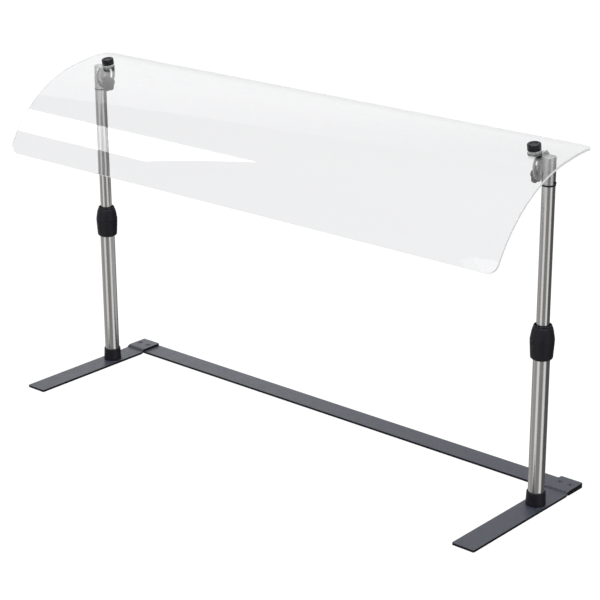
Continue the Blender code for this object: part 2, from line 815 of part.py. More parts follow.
def add_upper_post(side_name, post):
    top = RING_BOTTOM - GAP
    add_piece(f"{side_name}_upper_tube", tube_mesh(UPPER_RADIUS, UPPER_BOTTOM, top), brushed_steel, post)
    add_piece(f"{side_name}_glide_bush", glide_bush_mesh(), natural_nylon, post)
    drill_head(add_piece(f"{side_name}_head_plug", head_plug_mesh(), black_plastic, post))
    drill_head(add_piece(f"{side_name}_head_sleeve", head_sleeve_mesh(), brushed_steel, post))
    head_screw = (0, 0, HEAD_SCREW_Z)
    add_piece(f"{side_name}_head_screw", head_screw_mesh(), black_plastic, post, head_screw, OUTBOARD)
    add_saddle(f"{side_name}_saddle", post)
    pivot = (0, 0, PIVOT_Z)
    add_piece(f"{side_name}_pivot_pin", pivot_pin_mesh(), brushed_steel, post, pivot, INBOARD)
    clamp = (0, 0, PIVOT_Z - CLAMP_DROP)
    add_piece(f"{side_name}_clamp_washer", clamp_washer_mesh(), brushed_steel, post, clamp, INBOARD)
    add_piece(f"{side_name}_clamp_knob", clamp_knob_mesh(), gloss_black, post, clamp, INBOARD)


def add_panel_clamp(side_name, pivot):
    """The pieces that tilt with the panel, on a pivot frame whose X is inboard and Z up the stud."""
    add_tilt_plate(f"{side_name}_tilt_plate", pivot)
    stud = (PANEL_STUD_INBOARD, 0, 0)
    pad = ring_mesh(PANEL_HOLE_RADIUS, FLANGE_HALF_WIDTH - 0.5 * MM, PAD_BOTTOM, PAD_TOP, KNOB_SIDES)
    add_piece(f"{side_name}_flange_pad", pad, pale_rubber, pivot, stud)
    washer = ring_mesh(PANEL_HOLE_RADIUS, KNOB_RADIUS, WASHER_BOTTOM, WASHER_TOP, KNOB_SIDES)
    add_piece(f"{side_name}_panel_washer", washer, natural_nylon, pivot, stud)
    add_piece(f"{side_name}_panel_knob", panel_knob_mesh(), gloss_black, pivot, stud)


def build():
    clear_scene()
    add_crossbar()
    # The right post's frame is turned half round, so its tilt runs the other way about local X
    for side_name, side, turn in (("left", -1, 0), ("right", 1, math.pi)):
        post_x = side * POST_X
        add_leg(f"{side_name}_leg", post_x)
        add_base_screws(side_name, post_x)
        post = add_empty(f"{side_name}_post_axis", (post_x, POST_Y, 0), turn=(0, 0, turn))
        add_lower_post(side_name, post)
        add_upper_post(side_name, post)
        pivot = add_empty(f"{side_name}_pivot_axis", (0, 0, PIVOT_Z), post, (-side * TILT_AT_REST, 0, 0))
        add_panel_clamp(side_name, pivot)
    tilt_axis = add_empty("tilt_axis", (0, POST_Y, PIVOT_Z), turn=(TILT_AT_REST, 0, 0))
    add_panel(tilt_axis)


build()
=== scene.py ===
"""Looks for the portable sneeze guard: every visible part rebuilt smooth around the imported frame.

Frame: metres, +Z up, X along the crossbar, -Y the customer side.
Each post has its own frame, with +X inboard and its origin on the post's axis at table height.
The bracket's own frame has its origin on the tilt pivot, with +X inboard and +Z up the panel's stud.
"""

import json
import math

import bmesh
import bpy
from mathutils import Matrix, Vector


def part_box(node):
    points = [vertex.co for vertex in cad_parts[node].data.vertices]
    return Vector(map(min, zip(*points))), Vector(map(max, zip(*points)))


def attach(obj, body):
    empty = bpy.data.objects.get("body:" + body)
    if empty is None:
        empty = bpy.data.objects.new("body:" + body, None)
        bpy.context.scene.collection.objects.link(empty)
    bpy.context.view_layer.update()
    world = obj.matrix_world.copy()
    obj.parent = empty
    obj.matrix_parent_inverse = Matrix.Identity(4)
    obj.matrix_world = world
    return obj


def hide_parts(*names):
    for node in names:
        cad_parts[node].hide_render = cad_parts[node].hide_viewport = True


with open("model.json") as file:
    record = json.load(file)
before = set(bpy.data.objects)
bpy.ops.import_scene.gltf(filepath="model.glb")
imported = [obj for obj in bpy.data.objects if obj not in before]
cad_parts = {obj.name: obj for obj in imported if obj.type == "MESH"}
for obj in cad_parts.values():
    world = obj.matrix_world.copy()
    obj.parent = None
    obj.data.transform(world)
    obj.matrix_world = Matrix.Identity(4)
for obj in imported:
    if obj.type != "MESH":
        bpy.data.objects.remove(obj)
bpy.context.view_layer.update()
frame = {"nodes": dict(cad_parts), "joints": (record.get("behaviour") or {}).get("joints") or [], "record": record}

MM = 0.001
GAP = 0.3 * MM  # between pieces that touch
CUT_PAST = 1 * MM  # how far a cutter starts outside the face it cuts
SAME_PLACE = 1e-6  # points nearer than this are one
SIDES = ("left", "right")

# Smoothness
TUBE_SIDES = 128
KNOB_SIDES = 120
SCREW_SIDES = 48
FILLET_STEPS = 4
BAR_CORNER_STEPS = 6
SHARP_FROM = 35  # degrees between two faces that shade apart
BEVEL_FROM = 60  # degrees between two faces whose edge gets rounded

# Camera, as an orbit about a point on the object
CAMERA_TARGET = Vector((-0.0043, 0.0472, 0.2829))
CAMERA_AZIMUTH = math.radians(41.23)
CAMERA_ELEVATION = math.radians(19.733)
CAMERA_ROLL = math.radians(-0.35)
CAMERA_DISTANCE = 3.78
CAMERA_LENS = 110.39

BODIES = frame["record"]["behaviour"]["bodies"]
BODY_OF = {member: body for body, members in BODIES.items() for member in members}
SLOT_OF = {row["node"]: row["material_slot"] for row in frame["record"]["subparts"]}
JOINTS = {joint["name"]: joint for joint in frame["joints"]}

PIVOT = Vector(JOINTS["panel_tilt"]["pos_m"])
CLAMP_Z = JOINTS["left_clamp_knob_turn"]["pos_m"][2]
STUD_AXIS = Vector(JOINTS["left_panel_knob_turn"]["axis"])
REST_TILT = math.atan2(-STUD_AXIS.y, STUD_AXIS.z)


# ---- Outlines ----


def arc(centre, radius, start, end, steps):
    points = []
    for i in range(steps + 1):
        angle = start + (end - start) * i / steps
        points.append((centre[0] + radius * math.cos(angle), centre[1] + radius * math.sin(angle)))
    return points


def filleted(corners, closed=True):
    """Points along an outline of (x, y, fillet radius) corners."""
    points = []
    for i, (x, y, radius) in enumerate(corners):
        here = Vector((x, y))
        at_an_end = not closed and i in (0, len(corners) - 1)
        if radius == 0 or at_an_end:
            points.append((x, y))
            continue
        to_last = (Vector(corners[i - 1][:2]) - here).normalized()
        to_next = (Vector(corners[(i + 1) % len(corners)][:2]) - here).normalized()
        half = to_last.angle(to_next) / 2
        reach = radius / math.tan(half)
        centre = here + (to_last + to_next).normalized() * radius / math.sin(half)
        first = here + to_last * reach - centre
        last = here + to_next * reach - centre
        sweep = math.remainder(math.atan2(last.y, last.x) - math.atan2(first.y, first.x), math.tau)
        start = math.atan2(first.y, first.x)
        points += arc(centre, radius, start, start + sweep, FILLET_STEPS)
    return points


def rounded_rectangle(width, length, radius, steps):
    points = []
    for side_x, side_y, quarter in ((1, 1, 0), (-1, 1, 1), (-1, -1, 2), (1, -1, 3)):
        centre = (side_x * (width / 2 - radius), side_y * (length / 2 - radius))
        start = quarter * math.pi / 2
        points += arc(centre, radius, start, start + math.pi / 2, steps)
    return points


def smoothstep(low, high, value):
    share = min(1.0, max(0.0, (value - low) / (high - low)))
    return share * share * (3 - 2 * share)


# ---- Meshes ----


def finished(bm, sharp_from=SHARP_FROM):
    bm.normal_update()
    bmesh.ops.recalc_face_normals(bm, faces=bm.faces)
    if bm.calc_volume(signed=True) < 0:
        bmesh.ops.reverse_faces(bm, faces=bm.faces)
    mesh = bpy.data.meshes.new("fine")
    bm.to_mesh(mesh)
    bm.free()
    mesh.shade_smooth()
    mesh.set_sharp_from_angle(angle=math.radians(sharp_from))
    return mesh


def skin(bm, low, high):
    """Faces between two rings of equal count, or between a ring and a single point."""
    count = max(len(low), len(high))
    for i in range(count):
        j = (i + 1) % count
        if len(low) == 1:
            bm.faces.new((low[0], high[j], high[i]))
        elif len(high) == 1:
            bm.faces.new((low[i], low[j], high[0]))
        else:
            bm.faces.new((low[i], low[j], high[j], high[i]))


def turned(profile, sides=TUBE_SIDES, reshape=None):
    """A turned solid about Z from (radius, height) points: a loop, or a line from axis to axis.

    reshape(angle, radius, height) gives the radius at that angle, for lobes and flats.
    """
    bm = bmesh.new()
    rings = []
    for radius, height in profile:
        if radius < SAME_PLACE:
            rings.append([bm.verts.new((0, 0, height))])
            continue
        ring = []
        for i in range(sides):
            angle = math.tau * i / sides
            reach = reshape(angle, radius, height) if reshape else radius
            ring.append(bm.verts.new((reach * math.cos(angle), reach * math.sin(angle), height)))
        rings.append(ring)
    following = rings[1:]
    if profile[0][0] > SAME_PLACE:
        following.append(rings[0])
    for low, high in zip(rings, following):
        skin(bm, low, high)
    return finished(bm)


def lathe(corners, sides=TUBE_SIDES, reshape=None):
    """A turned solid from (radius, height, fillet radius) corners, as turned() takes its points."""
    return turned(filleted(corners, closed=corners[0][0] > 0), sides, reshape)


def soften(bm, edges, width, segments=2):
    bmesh.ops.bevel(bm, geom=edges, offset=width, segments=segments, profile=0.5, affect="EDGES")


def sharp_edges(bm):
    limit = math.radians(BEVEL_FROM)
    bm.normal_update()
    return [edge for edge in bm.edges if len(edge.link_faces) == 2 and edge.calc_face_angle(0) > limit]


def pushed_out(points, along):
    """A flat outline pushed out into a solid, still as a bmesh."""
    bm = bmesh.new()
    face = bm.faces.new([bm.verts.new(point) for point in points])
    pushed = bmesh.ops.extrude_face_region(bm, geom=[face])
    moved = [item for item in pushed["geom"] if isinstance(item, bmesh.types.BMVert)]
    bmesh.ops.translate(bm, verts=moved, vec=along)
    bmesh.ops.recalc_face_normals(bm, faces=bm.faces)
    return bm


def prism(outline, depth, edge=0.0):
    """The outline in XY pushed up along Z, with all its sharp edges rounded."""
    bm = pushed_out([(x, y, 0) for x, y in outline], (0, 0, depth))
    if edge:
        soften(bm, sharp_edges(bm), edge)
    return finished(bm)


def put_in_scene(name, data):
    obj = bpy.data.objects.new(name, data)
    bpy.context.scene.collection.objects.link(obj)
    return obj


def carved(mesh, tools, operation="DIFFERENCE"):
    """The mesh after a Boolean with each (mesh, matrix) tool."""
    work = put_in_scene("work", mesh)
    helpers = []
    for tool_mesh, matrix in tools:
        tool = put_in_scene("tool", tool_mesh)
        tool.matrix_world = matrix
        boolean = work.modifiers.new("tool", "BOOLEAN")
        boolean.operation = operation
        boolean.solver = "EXACT"
        boolean.object = tool
        helpers.append(tool)
    bpy.context.view_layer.update()
    graph = bpy.context.evaluated_depsgraph_get()
    result = bpy.data.meshes.new_from_object(work.evaluated_get(graph))
    for helper in [work, *helpers]:
        bpy.data.objects.remove(helper)
    result.shade_smooth()
    result.set_sharp_from_angle(angle=math.radians(SHARP_FROM))
    return result


def drill(radius, length):
    return turned([(0, 0), (radius, 0), (radius, length), (0, length)], SCREW_SIDES)


def ring(bore, radius, bottom, top, edge, sides=TUBE_SIDES):
    corners = [(bore, top, edge), (radius, top, edge), (radius, bottom, edge), (bore, bottom, edge)]
    return lathe(corners, sides)


def at(x=0.0, y=0.0, z=0.0):
    return Matrix.Translation((x, y, z))


INBOARD = Matrix.Rotation(math.pi / 2, 4, "Y")
OUTBOARD = Matrix.Rotation(-math.pi / 2, 4, "Y")


# ---- Shader nodes ----


class Nodes:
    """Adds shader nodes whose inputs are values or other nodes' outputs."""

    def __init__(self, tree):
        self.tree = tree

    def fill(self, node, inputs):
        for key, value in inputs.items():
            if isinstance(value, bpy.types.NodeSocket):
                self.tree.links.new(value, node.inputs[key])
            else:
                node.inputs[key].default_value = value
        return node

    def add(self, kind, inputs, **settings):
        node = self.tree.nodes.new(kind)
        for name, value in settings.items():
            setattr(node, name, value)
        return self.fill(node, inputs)

    def place(self):
        return self.add("ShaderNodeTexCoord", {}).outputs["Object"]

    def stretched(self, vector, scale):
        return self.add("ShaderNodeMapping", {"Vector": vector, "Scale": scale}).outputs["Vector"]

    def noise(self, vector, scale, detail=2.0, roughness=0.5):
        inputs = {"Vector": vector, "Scale": scale, "Detail": detail, "Roughness": roughness}
        return self.add("ShaderNodeTexNoise", inputs).outputs["Fac"]

    def remap(self, value, low, high, to_low=0.0, to_high=1.0):
        inputs = {"Value": value, "From Min": low, "From Max": high, "To Min": to_low, "To Max": to_high}
        return self.add("ShaderNodeMapRange", inputs).outputs["Result"]

    def math(self, operation, first, second=0.0):
        return self.add("ShaderNodeMath", {0: first, 1: second}, operation=operation).outputs["Value"]

    def blend(self, share, first, second):
        # Sockets 0, 6, 7 and result 2 are the ones that a mix of colours uses
        mix = self.add("ShaderNodeMix", {0: share, 6: first, 7: second}, data_type="RGBA")
        return mix.outputs[2]

    def bump(self, height, strength, distance):
        inputs = {"Height": height, "Strength": strength, "Distance": distance}
        return self.add("ShaderNodeBump", inputs).outputs["Normal"]

    def edge_mask(self, radius, low, high):
        """Near 1 within about that radius of a sharp edge."""
        rounded = self.add("ShaderNodeBevel", {"Radius": radius}, samples=4).outputs["Normal"]
        flat = self.add("ShaderNodeNewGeometry", {}).outputs["Normal"]
        dot = self.add("ShaderNodeVectorMath", {0: rounded, 1: flat}, operation="DOT_PRODUCT")
        return self.remap(self.math("SUBTRACT", 1.0, dot.outputs["Value"]), low, high)


def new_look(name):
    material = bpy.data.materials.new(name + "_look")
    material.use_nodes = True
    nodes = Nodes(material.node_tree)
    return material, nodes, material.node_tree.nodes["Principled BSDF"]


def rgb(red, green, blue):
    return (red, green, blue, 1.0)


# ---- Materials ----

PAINTED_EDGE_GLOW = 0.35  # painted glow, standing in for the light that the clear sheet carries to its front and rear edges
PAINTED_END_GLOW = 0.10  # and to its two ends, also painted glow


def powder_coat(nodes, place):
    """Black polyester powder: a fine orange peel, faces that look up painted a lighter blue-grey as a painted top
    light, edges slightly rubbed.
    """
    peel = nodes.noise(place, 1100, 3)
    cloud = nodes.noise(place, 45, 3)
    facing = nodes.add("ShaderNodeNewGeometry", {}).outputs["Normal"]
    upward = nodes.add("ShaderNodeSeparateXYZ", {"Vector": facing}).outputs["Z"]
    # Painted top light: faces that look up get a lighter, bluer colour, mottled at random, and mirror more.
    painted_top_light = nodes.remap(upward, 0.45, 0.95)
    painted_top_tone = nodes.blend(cloud, rgb(0.021, 0.023, 0.032), rgb(0.030, 0.033, 0.045))
    colour = nodes.blend(painted_top_light, rgb(0.006, 0.006, 0.009), painted_top_tone)
    rubbed = nodes.math("MULTIPLY", nodes.edge_mask(1.0 * MM, 0.02, 0.3), nodes.noise(place, 90, 4))
    colour = nodes.blend(nodes.remap(rubbed, 0.25, 0.75, 0.0, 0.3), colour, rgb(0.09, 0.09, 0.10))
    grain = nodes.math("ADD", nodes.math("MULTIPLY", peel, 0.5), nodes.math("MULTIPLY", cloud, 0.5))
    return {
        "Base Color": colour,
        "Roughness": nodes.remap(grain, 0.3, 0.7, 0.34, 0.48),
        "Specular IOR Level": nodes.remap(painted_top_light, 0.0, 1.0, 0.18, 0.5),
        "Normal": nodes.bump(peel, 0.5, 0.25 * MM),
    }


def stainless_tube(nodes, place):
    """Polished stainless tube: long faint streaks from drawing, and a few dull handling smudges."""
    streaks = nodes.noise(nodes.stretched(place, (700, 700, 3)), 1, 3)
    smudge = nodes.noise(nodes.stretched(place, (26, 26, 12)), 1, 3)
    colour = nodes.blend(streaks, rgb(0.54, 0.53, 0.52), rgb(0.62, 0.61, 0.60))
    streaky = nodes.remap(streaks, 0.3, 0.7, 0.19, 0.22)
    roughness = nodes.math("ADD", streaky, nodes.remap(smudge, 0.45, 0.7, 0, 0.04))
    turning = nodes.add("ShaderNodeTangent", {}, direction_type="RADIAL", axis="Z").outputs["Tangent"]
    return {
        "Base Color": colour,
        "Metallic": 1.0,
        "Roughness": roughness,
        "Anisotropic": 0.6,
        "Anisotropic Rotation": 0.25,
        "Tangent": turning,
        "Normal": nodes.bump(smudge, 0.02, 0.05 * MM),
    }


def head_steel(nodes, place):
    """Satin steel of the tilting heads: short cross grain, light handling marks, and edges painted paler as a
    painted highlight.
    """
    grain = nodes.noise(nodes.stretched(place, (260, 60, 3600)), 1, 3, 0.65)
    marks = nodes.noise(place, 120, 4)
    colour = nodes.blend(marks, rgb(0.42, 0.42, 0.42), rgb(0.55, 0.55, 0.54))
    # Painted highlight: a paler colour within half a millimetre of sharp edges.
    painted_edge_highlight = nodes.edge_mask(0.5 * MM, 0.03, 0.3)
    return {
        "Base Color": nodes.blend(nodes.math("MULTIPLY", painted_edge_highlight, 0.5), colour, rgb(0.80, 0.79, 0.77)),
        "Metallic": 1.0,
        "Roughness": nodes.remap(nodes.math("ADD", grain, marks), 0.7, 1.3, 0.22, 0.38),
        "Normal": nodes.bump(grain, 0.14, 0.04 * MM),
    }


def plated_fastener(nodes, place):
    """Zinc-plated steel, its bloom between blue-grey and straw."""
    bloom = nodes.noise(place, 350, 3)
    return {
        "Base Color": nodes.blend(bloom, rgb(0.42, 0.43, 0.45), rgb(0.62, 0.61, 0.56)),
        "Metallic": 1.0,
        "Roughness": nodes.remap(bloom, 0.3, 0.7, 0.28, 0.44),
        "Normal": nodes.bump(nodes.noise(place, 2200, 2), 0.2, 0.03 * MM),
    }


def moulded_black(nodes, place):
    """Matte nylon from a spark-eroded mould, its edges painted a little lighter as a painted sheen."""
    erosion = nodes.noise(place, 2600, 2, 0.6)
    cloud = nodes.noise(place, 90, 3)
    # Painted sheen: a lighter colour near sharp edges.
    painted_edge_sheen = nodes.math("MULTIPLY", nodes.edge_mask(1.2 * MM, 0.02, 0.35), 0.4)
    colour = nodes.blend(cloud, rgb(0.007, 0.007, 0.010), rgb(0.012, 0.012, 0.016))
    return {
        "Base Color": nodes.blend(painted_edge_sheen, colour, rgb(0.026, 0.026, 0.032)),
        "Roughness": nodes.remap(nodes.math("ADD", erosion, cloud), 0.7, 1.3, 0.40, 0.54),
        "Specular IOR Level": 0.2,
        "Normal": nodes.bump(erosion, 0.4, 0.08 * MM),
    }


def knob_black(nodes, place):
    """Gloss phenolic: a shiny skin with faint wipe marks and fine scratches."""
    wipes = nodes.noise(place, 160, 4)
    scratches = nodes.noise(nodes.stretched(place, (300, 300, 4000)), 1, 2)
    return {
        "Base Color": nodes.blend(wipes, rgb(0.004, 0.004, 0.006), rgb(0.008, 0.008, 0.011)),
        "Roughness": nodes.remap(wipes, 0.35, 0.7, 0.12, 0.22),
        "Specular IOR Level": 0.26,
        "Normal": nodes.bump(scratches, 0.06, 0.03 * MM),
    }


def natural_nylon(nodes, place):
    """Milky unpigmented nylon, as moulded."""
    cloud = nodes.noise(place, 200, 3)
    return {
        "Base Color": nodes.blend(cloud, rgb(0.70, 0.72, 0.71), rgb(0.82, 0.83, 0.81)),
        "Roughness": nodes.remap(cloud, 0.3, 0.7, 0.32, 0.5),
        "Transmission Weight": 0.35,
        "Subsurface Weight": 0.3,
        "Subsurface Radius": (2 * MM, 2 * MM, 2 * MM),
        "Normal": nodes.bump(nodes.noise(place, 2400, 2), 0.2, 0.04 * MM),
    }


def rubber_pad(nodes, place):
    """Pale grey sheet rubber, dull and finely speckled."""
    speckle = nodes.noise(place, 1800, 3)
    return {
        "Base Color": nodes.blend(speckle, rgb(0.55, 0.56, 0.56), rgb(0.66, 0.67, 0.67)),
        "Roughness": nodes.remap(speckle, 0.3, 0.7, 0.68, 0.88),
        "Normal": nodes.bump(speckle, 0.35, 0.06 * MM),
    }


def clear_acrylic(nodes, place):
    """Cast acrylic faces: clear, with a trace of haze from wiping."""
    wiped = nodes.noise(nodes.stretched(place, (3, 14, 14)), 1, 4)
    return {
        "Base Color": rgb(0.82, 0.822, 0.832),
        "Roughness": nodes.remap(wiped, 0.4, 0.75, 0.004, 0.03),
        "IOR": 1.49,
        "Transmission Weight": 1.0,
        "Normal": nodes.bump(nodes.noise(place, 9, 2), 0.05, 0.2 * MM),
    }


def acrylic_edge(nodes, place):
    """The sheet's sawn and polished edge: pale, with a painted glow for the light it gathers, most along the long
    sides.
    """
    chatter = nodes.noise(nodes.stretched(place, (700, 700, 700)), 1, 3)
    facing = nodes.add("ShaderNodeNewGeometry", {}).outputs["Normal"]
    facing_end = nodes.add("ShaderNodeSeparateXYZ", {"Vector": facing}).outputs["X"]
    at_end = nodes.math("ABSOLUTE", facing_end)
    return {
        "Base Color": nodes.blend(chatter, rgb(0.70, 0.71, 0.71), rgb(0.80, 0.81, 0.81)),
        "Roughness": nodes.remap(chatter, 0.3, 0.7, 0.24, 0.38),
        "Specular IOR Level": 0.4,
        # Painted glow: the edge emits light, though it is no lamp.
        "Emission Color": rgb(0.97, 0.985, 1.0),
        "Emission Strength": nodes.remap(at_end, 0.4, 0.9, PAINTED_EDGE_GLOW, PAINTED_END_GLOW),
        "Normal": nodes.bump(chatter, 0.25, 0.05 * MM),
    }


def let_lamps_through(nodes, shader, tint):
    """Shadow rays and soft bounces pass straight through, so a clear sheet casts a faint shadow."""
    rays = nodes.add("ShaderNodeLightPath", {}).outputs
    passing = nodes.math("MAXIMUM", rays["Is Shadow Ray"], rays["Is Diffuse Ray"])
    clear = nodes.add("ShaderNodeBsdfTransparent", {"Color": tint}).outputs["BSDF"]
    mixed = nodes.add("ShaderNodeMixShader", {0: passing, 1: shader.outputs["BSDF"], 2: clear})
    nodes.fill(nodes.tree.nodes["Material Output"], {"Surface": mixed.outputs["Shader"]})


def built_look(recipe, passed_light=None):
    """The material whose shader has the inputs that the recipe gives."""
    material, nodes, shader = new_look(recipe.__name__)
    nodes.fill(shader, recipe(nodes, nodes.place()))
    if passed_light:
        let_lamps_through(nodes, shader, passed_light)
    return material


METAL_PARTS = (powder_coat, stainless_tube, head_steel, plated_fastener)
MOULDED_PARTS = (moulded_black, knob_black, natural_nylon, rubber_pad)
LOOKS = {recipe.__name__: built_look(recipe) for recipe in METAL_PARTS + MOULDED_PARTS}
LOOKS["clear_acrylic"] = built_look(clear_acrylic, rgb(0.95, 0.955, 0.96))
EDGE_LOOK = built_look(acrylic_edge, rgb(0.9, 0.905, 0.905))


def dress(node, mesh, matrix=Matrix()):
    """Stands a mesh in for a CAD node, riding on its body with the look of its slot."""
    piece = put_in_scene(node + "_fine", mesh)
    piece.matrix_world = matrix
    mesh.name = piece.name
    mesh.materials.append(LOOKS[SLOT_OF[node]])
    piece.modifiers.new("flat faces stay flat", "WEIGHTED_NORMAL").keep_sharp = True
    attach(piece, BODY_OF[node])
    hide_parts(node)
    return piece


def dress_side(side, matrix, meshes):
    """Dresses one side's nodes, by their names without the side, all in the same frame."""
    for name, mesh in meshes.items():
        dress(f"{side}_{name}", mesh, matrix)


def centre_of(node):
    low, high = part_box(node)
    return (low + high) / 2


def span(node):
    """(radius, bottom, top) of a CAD node that is round about a post."""
    low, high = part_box(node)
    return (high.x - low.x) / 2, low.z, high.z


def post_frame(side):
    turn = 0 if side == "left" else math.pi
    middle = centre_of(f"{side}_lower_tube")
    return at(middle.x, middle.y) @ Matrix.Rotation(turn, 4, "Z")


def pivot_frame(side):
    tilt = REST_TILT if side == "left" else -REST_TILT
    return post_frame(side) @ at(z=PIVOT.z) @ Matrix.Rotation(tilt, 4, "X")


# ---- Base ----

CROSSBAR_LOW, CROSSBAR_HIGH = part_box("crossbar")
BAR_THICKNESS = CROSSBAR_HIGH.z - CROSSBAR_LOW.z
BAR_WIDTH = CROSSBAR_HIGH.y - CROSSBAR_LOW.y
BAR_CORNER = 3 * MM
BAR_EDGE = 0.5 * MM
BAR_BEND = 3 * MM
JOGGLE_RUN = 6 * MM
SCREW_HEAD = 5.8 * MM
SCREW_SHANK = 2.7 * MM
SCREW_HEAD_DEPTH = 3.1 * MM
SCREW_RIM = 0.5 * MM  # upright rim round a countersunk head
SCREW_TURNS = (20, 65, 38, -10)  # degrees, where each screw's recess came to rest
FOOT_SCREW_HEAD = 7.6 * MM
FOOT_SCREW_SHANK = 4 * MM


def countersunk_hole(head, shank, cone_end, far_end):
    """A cutter from outside the face at Z = 0 to far_end, which may be above or below it."""
    way = math.copysign(1, far_end)
    profile = [
        (0, -way * CUT_PAST),
        (head + GAP, -way * CUT_PAST),
        (head + GAP, way * (GAP + SCREW_RIM)),
        (shank + GAP, cone_end),
        (shank + GAP, far_end),
        (0, far_end),
    ]
    return turned(profile, SCREW_SIDES)


def screw_places(side):
    """The X and Y of a leg's two base screws."""
    return [centre_of(f"{side}_base_screw_{number}").xy for number in (1, 2)]


def leg_mesh(side):
    low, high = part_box(f"{side}_leg")
    step = high.z - BAR_THICKNESS
    ramp_end = high.y - BAR_WIDTH - GAP
    ramp_start = ramp_end - JOGGLE_RUN
    outer_bend = BAR_BEND + BAR_THICKNESS
    corners = [
        (low.y, 0, 0),
        (ramp_start, 0, outer_bend),
        (ramp_end, step, BAR_BEND),
        (high.y, step, 0),
        (high.y, high.z, 0),
        (ramp_end, high.z, outer_bend),
        (ramp_start, BAR_THICKNESS, BAR_BEND),
        (low.y, BAR_THICKNESS, 0),
    ]
    bm = pushed_out([(low.x, y, z) for y, z in filleted(corners)], (high.x - low.x, 0, 0))
    uprights = []
    for edge in bm.edges:
        first, second = (vert.co for vert in edge.verts)
        if (first.xy - second.xy).length < SAME_PLACE:
            uprights.append(edge)
    soften(bm, uprights, BAR_CORNER, BAR_CORNER_STEPS)
    soften(bm, sharp_edges(bm), BAR_EDGE)
    leg = finished(bm)
    tools = []
    for x, y in screw_places(side):
        hole = countersunk_hole(SCREW_HEAD, SCREW_SHANK, -SCREW_HEAD_DEPTH, -4 * BAR_THICKNESS)
        tools.append((hole, at(x, y, high.z)))
    cone_end = BAR_THICKNESS - 0.6 * MM
    foot_hole = countersunk_hole(FOOT_SCREW_HEAD, FOOT_SCREW_SHANK, cone_end, 2 * BAR_THICKNESS)
    tools.append((foot_hole, at(*post_frame(side).translation.xy)))
    return carved(leg, tools)


def crossbar_mesh():
    centre = centre_of("crossbar")
    length = CROSSBAR_HIGH.x - CROSSBAR_LOW.x
    outline = rounded_rectangle(length, BAR_WIDTH, BAR_CORNER, BAR_CORNER_STEPS)
    bar = prism(outline, BAR_THICKNESS, BAR_EDGE)
    tools = []
    for side in SIDES:
        for x, y in screw_places(side):
            hole = drill(SCREW_SHANK + GAP, 4 * BAR_THICKNESS)
            tools.append((hole, at(x - centre.x, y - centre.y, -BAR_THICKNESS)))
    return carved(bar, tools), at(centre.x, centre.y, CROSSBAR_LOW.z)


def cross_recess():
    """A tapering plus-shaped tool, from the screw's top down."""
    arm = 3.3 * MM
    half = 0.75 * MM
    depth = 2.2 * MM
    corners = [(arm, -half), (arm, half), (half, half), (half, arm), (-half, arm), (-half, half)]
    outline = corners + [(-x, -y) for x, y in corners]
    bm = bmesh.new()
    rings = []
    for scale, height in ((1.15, 0.5 * MM), (1.0, -GAP), (0.55, -depth)):
        rings.append([bm.verts.new((x * scale, y * scale, height)) for x, y in outline])
    bm.faces.new(rings[0])
    bm.faces.new(rings[-1])
    for low, high in zip(rings, rings[1:]):
        skin(bm, low, high)
    return finished(bm)


def base_screw_mesh(turn):
    """A countersunk machine screw with its top at the pad's top."""
    end = -2 * BAR_THICKNESS + 0.6 * MM
    chamfer = 0.5 * MM
    corners = [
        (0, -GAP, 0),
        (SCREW_HEAD, -GAP, 0.15 * MM),
        (SCREW_HEAD, -GAP - SCREW_RIM, 0.1 * MM),
        (SCREW_SHANK, -SCREW_HEAD_DEPTH, 0.4 * MM),
        (SCREW_SHANK, end + chamfer, 0),
        (SCREW_SHANK - chamfer, end, 0),
        (0, end, 0),
    ]
    body = lathe(corners, SCREW_SIDES)
    return carved(body, [(cross_recess(), Matrix.Rotation(turn, 4, "Z"))])


def dress_base():
    mesh, matrix = crossbar_mesh()
    dress("crossbar", mesh, matrix)
    turns = iter(SCREW_TURNS)
    for side in SIDES:
        dress(f"{side}_leg", leg_mesh(side))
        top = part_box(f"{side}_leg")[1].z
        for number, (x, y) in enumerate(screw_places(side), start=1):
            screw = base_screw_mesh(math.radians(next(turns)))
            dress(f"{side}_base_screw_{number}", screw, at(x, y, top))


# ---- Posts ----

TUBE_WALL = 1.5 * MM
LOWER_RADIUS, _, LOWER_TOP = span("left_lower_tube")
UPPER_RADIUS, _, UPPER_TOP = span("left_upper_tube")
_, LOCK_BOTTOM, LOCK_NECK_TOP = span("left_lock_body")
_, TWIST_RING_BOTTOM, LOCK_TOP = span("left_twist_ring")
LOCK_SEAM = TWIST_RING_BOTTOM - GAP
LOCK_LIP = 5.4 * MM  # the collar at the twist ring's top
LOCK_SEAM_RADIUS = 22.9 * MM
LOCK_WIDEST = 23.4 * MM
LOCK_NECK_RADIUS = 18.9 * MM  # the neck that the twist ring turns on
LOCK_FLATS = 8
FLAT_DEPTH = 0.022  # of the radius
FLAT_FADE = (2 * MM, 9 * MM)  # from the seam to a flat's full depth
COLLET_TOP_RADIUS = 14.9 * MM  # of the cone inside the twist ring
COLLET_BOTTOM_RADIUS = 16.6 * MM


def tube_mesh(radius, bottom, top):
    return ring(radius - TUBE_WALL, radius, bottom, top, 0.3 * MM)


def base_socket_mesh():
    radius, bottom, top = span("left_base_socket")
    bore = LOWER_RADIUS + GAP
    corners = [
        (bore, top, 0.8 * MM),
        (radius - 1.3 * MM, top, 1.0 * MM),
        (radius - 0.5 * MM, bottom + 9 * MM, 6 * MM),
        (radius, bottom + 1.6 * MM, 1 * MM),
        (radius - 0.2 * MM, bottom, 0.4 * MM),
        (bore, bottom, 0),
    ]
    return lathe(corners)


def soft_flats(angle, radius, height):
    """Broad flats on the outside of the twist lock, fading out towards the seam."""
    outside = smoothstep(LOWER_RADIUS + 2 * MM, LOWER_RADIUS + 3 * MM, radius)
    off_seam = smoothstep(*FLAT_FADE, abs(height - LOCK_SEAM))
    hollow = 0.5 - 0.5 * math.cos(LOCK_FLATS * angle)
    return radius * (1 - FLAT_DEPTH * outside * off_seam * hollow)


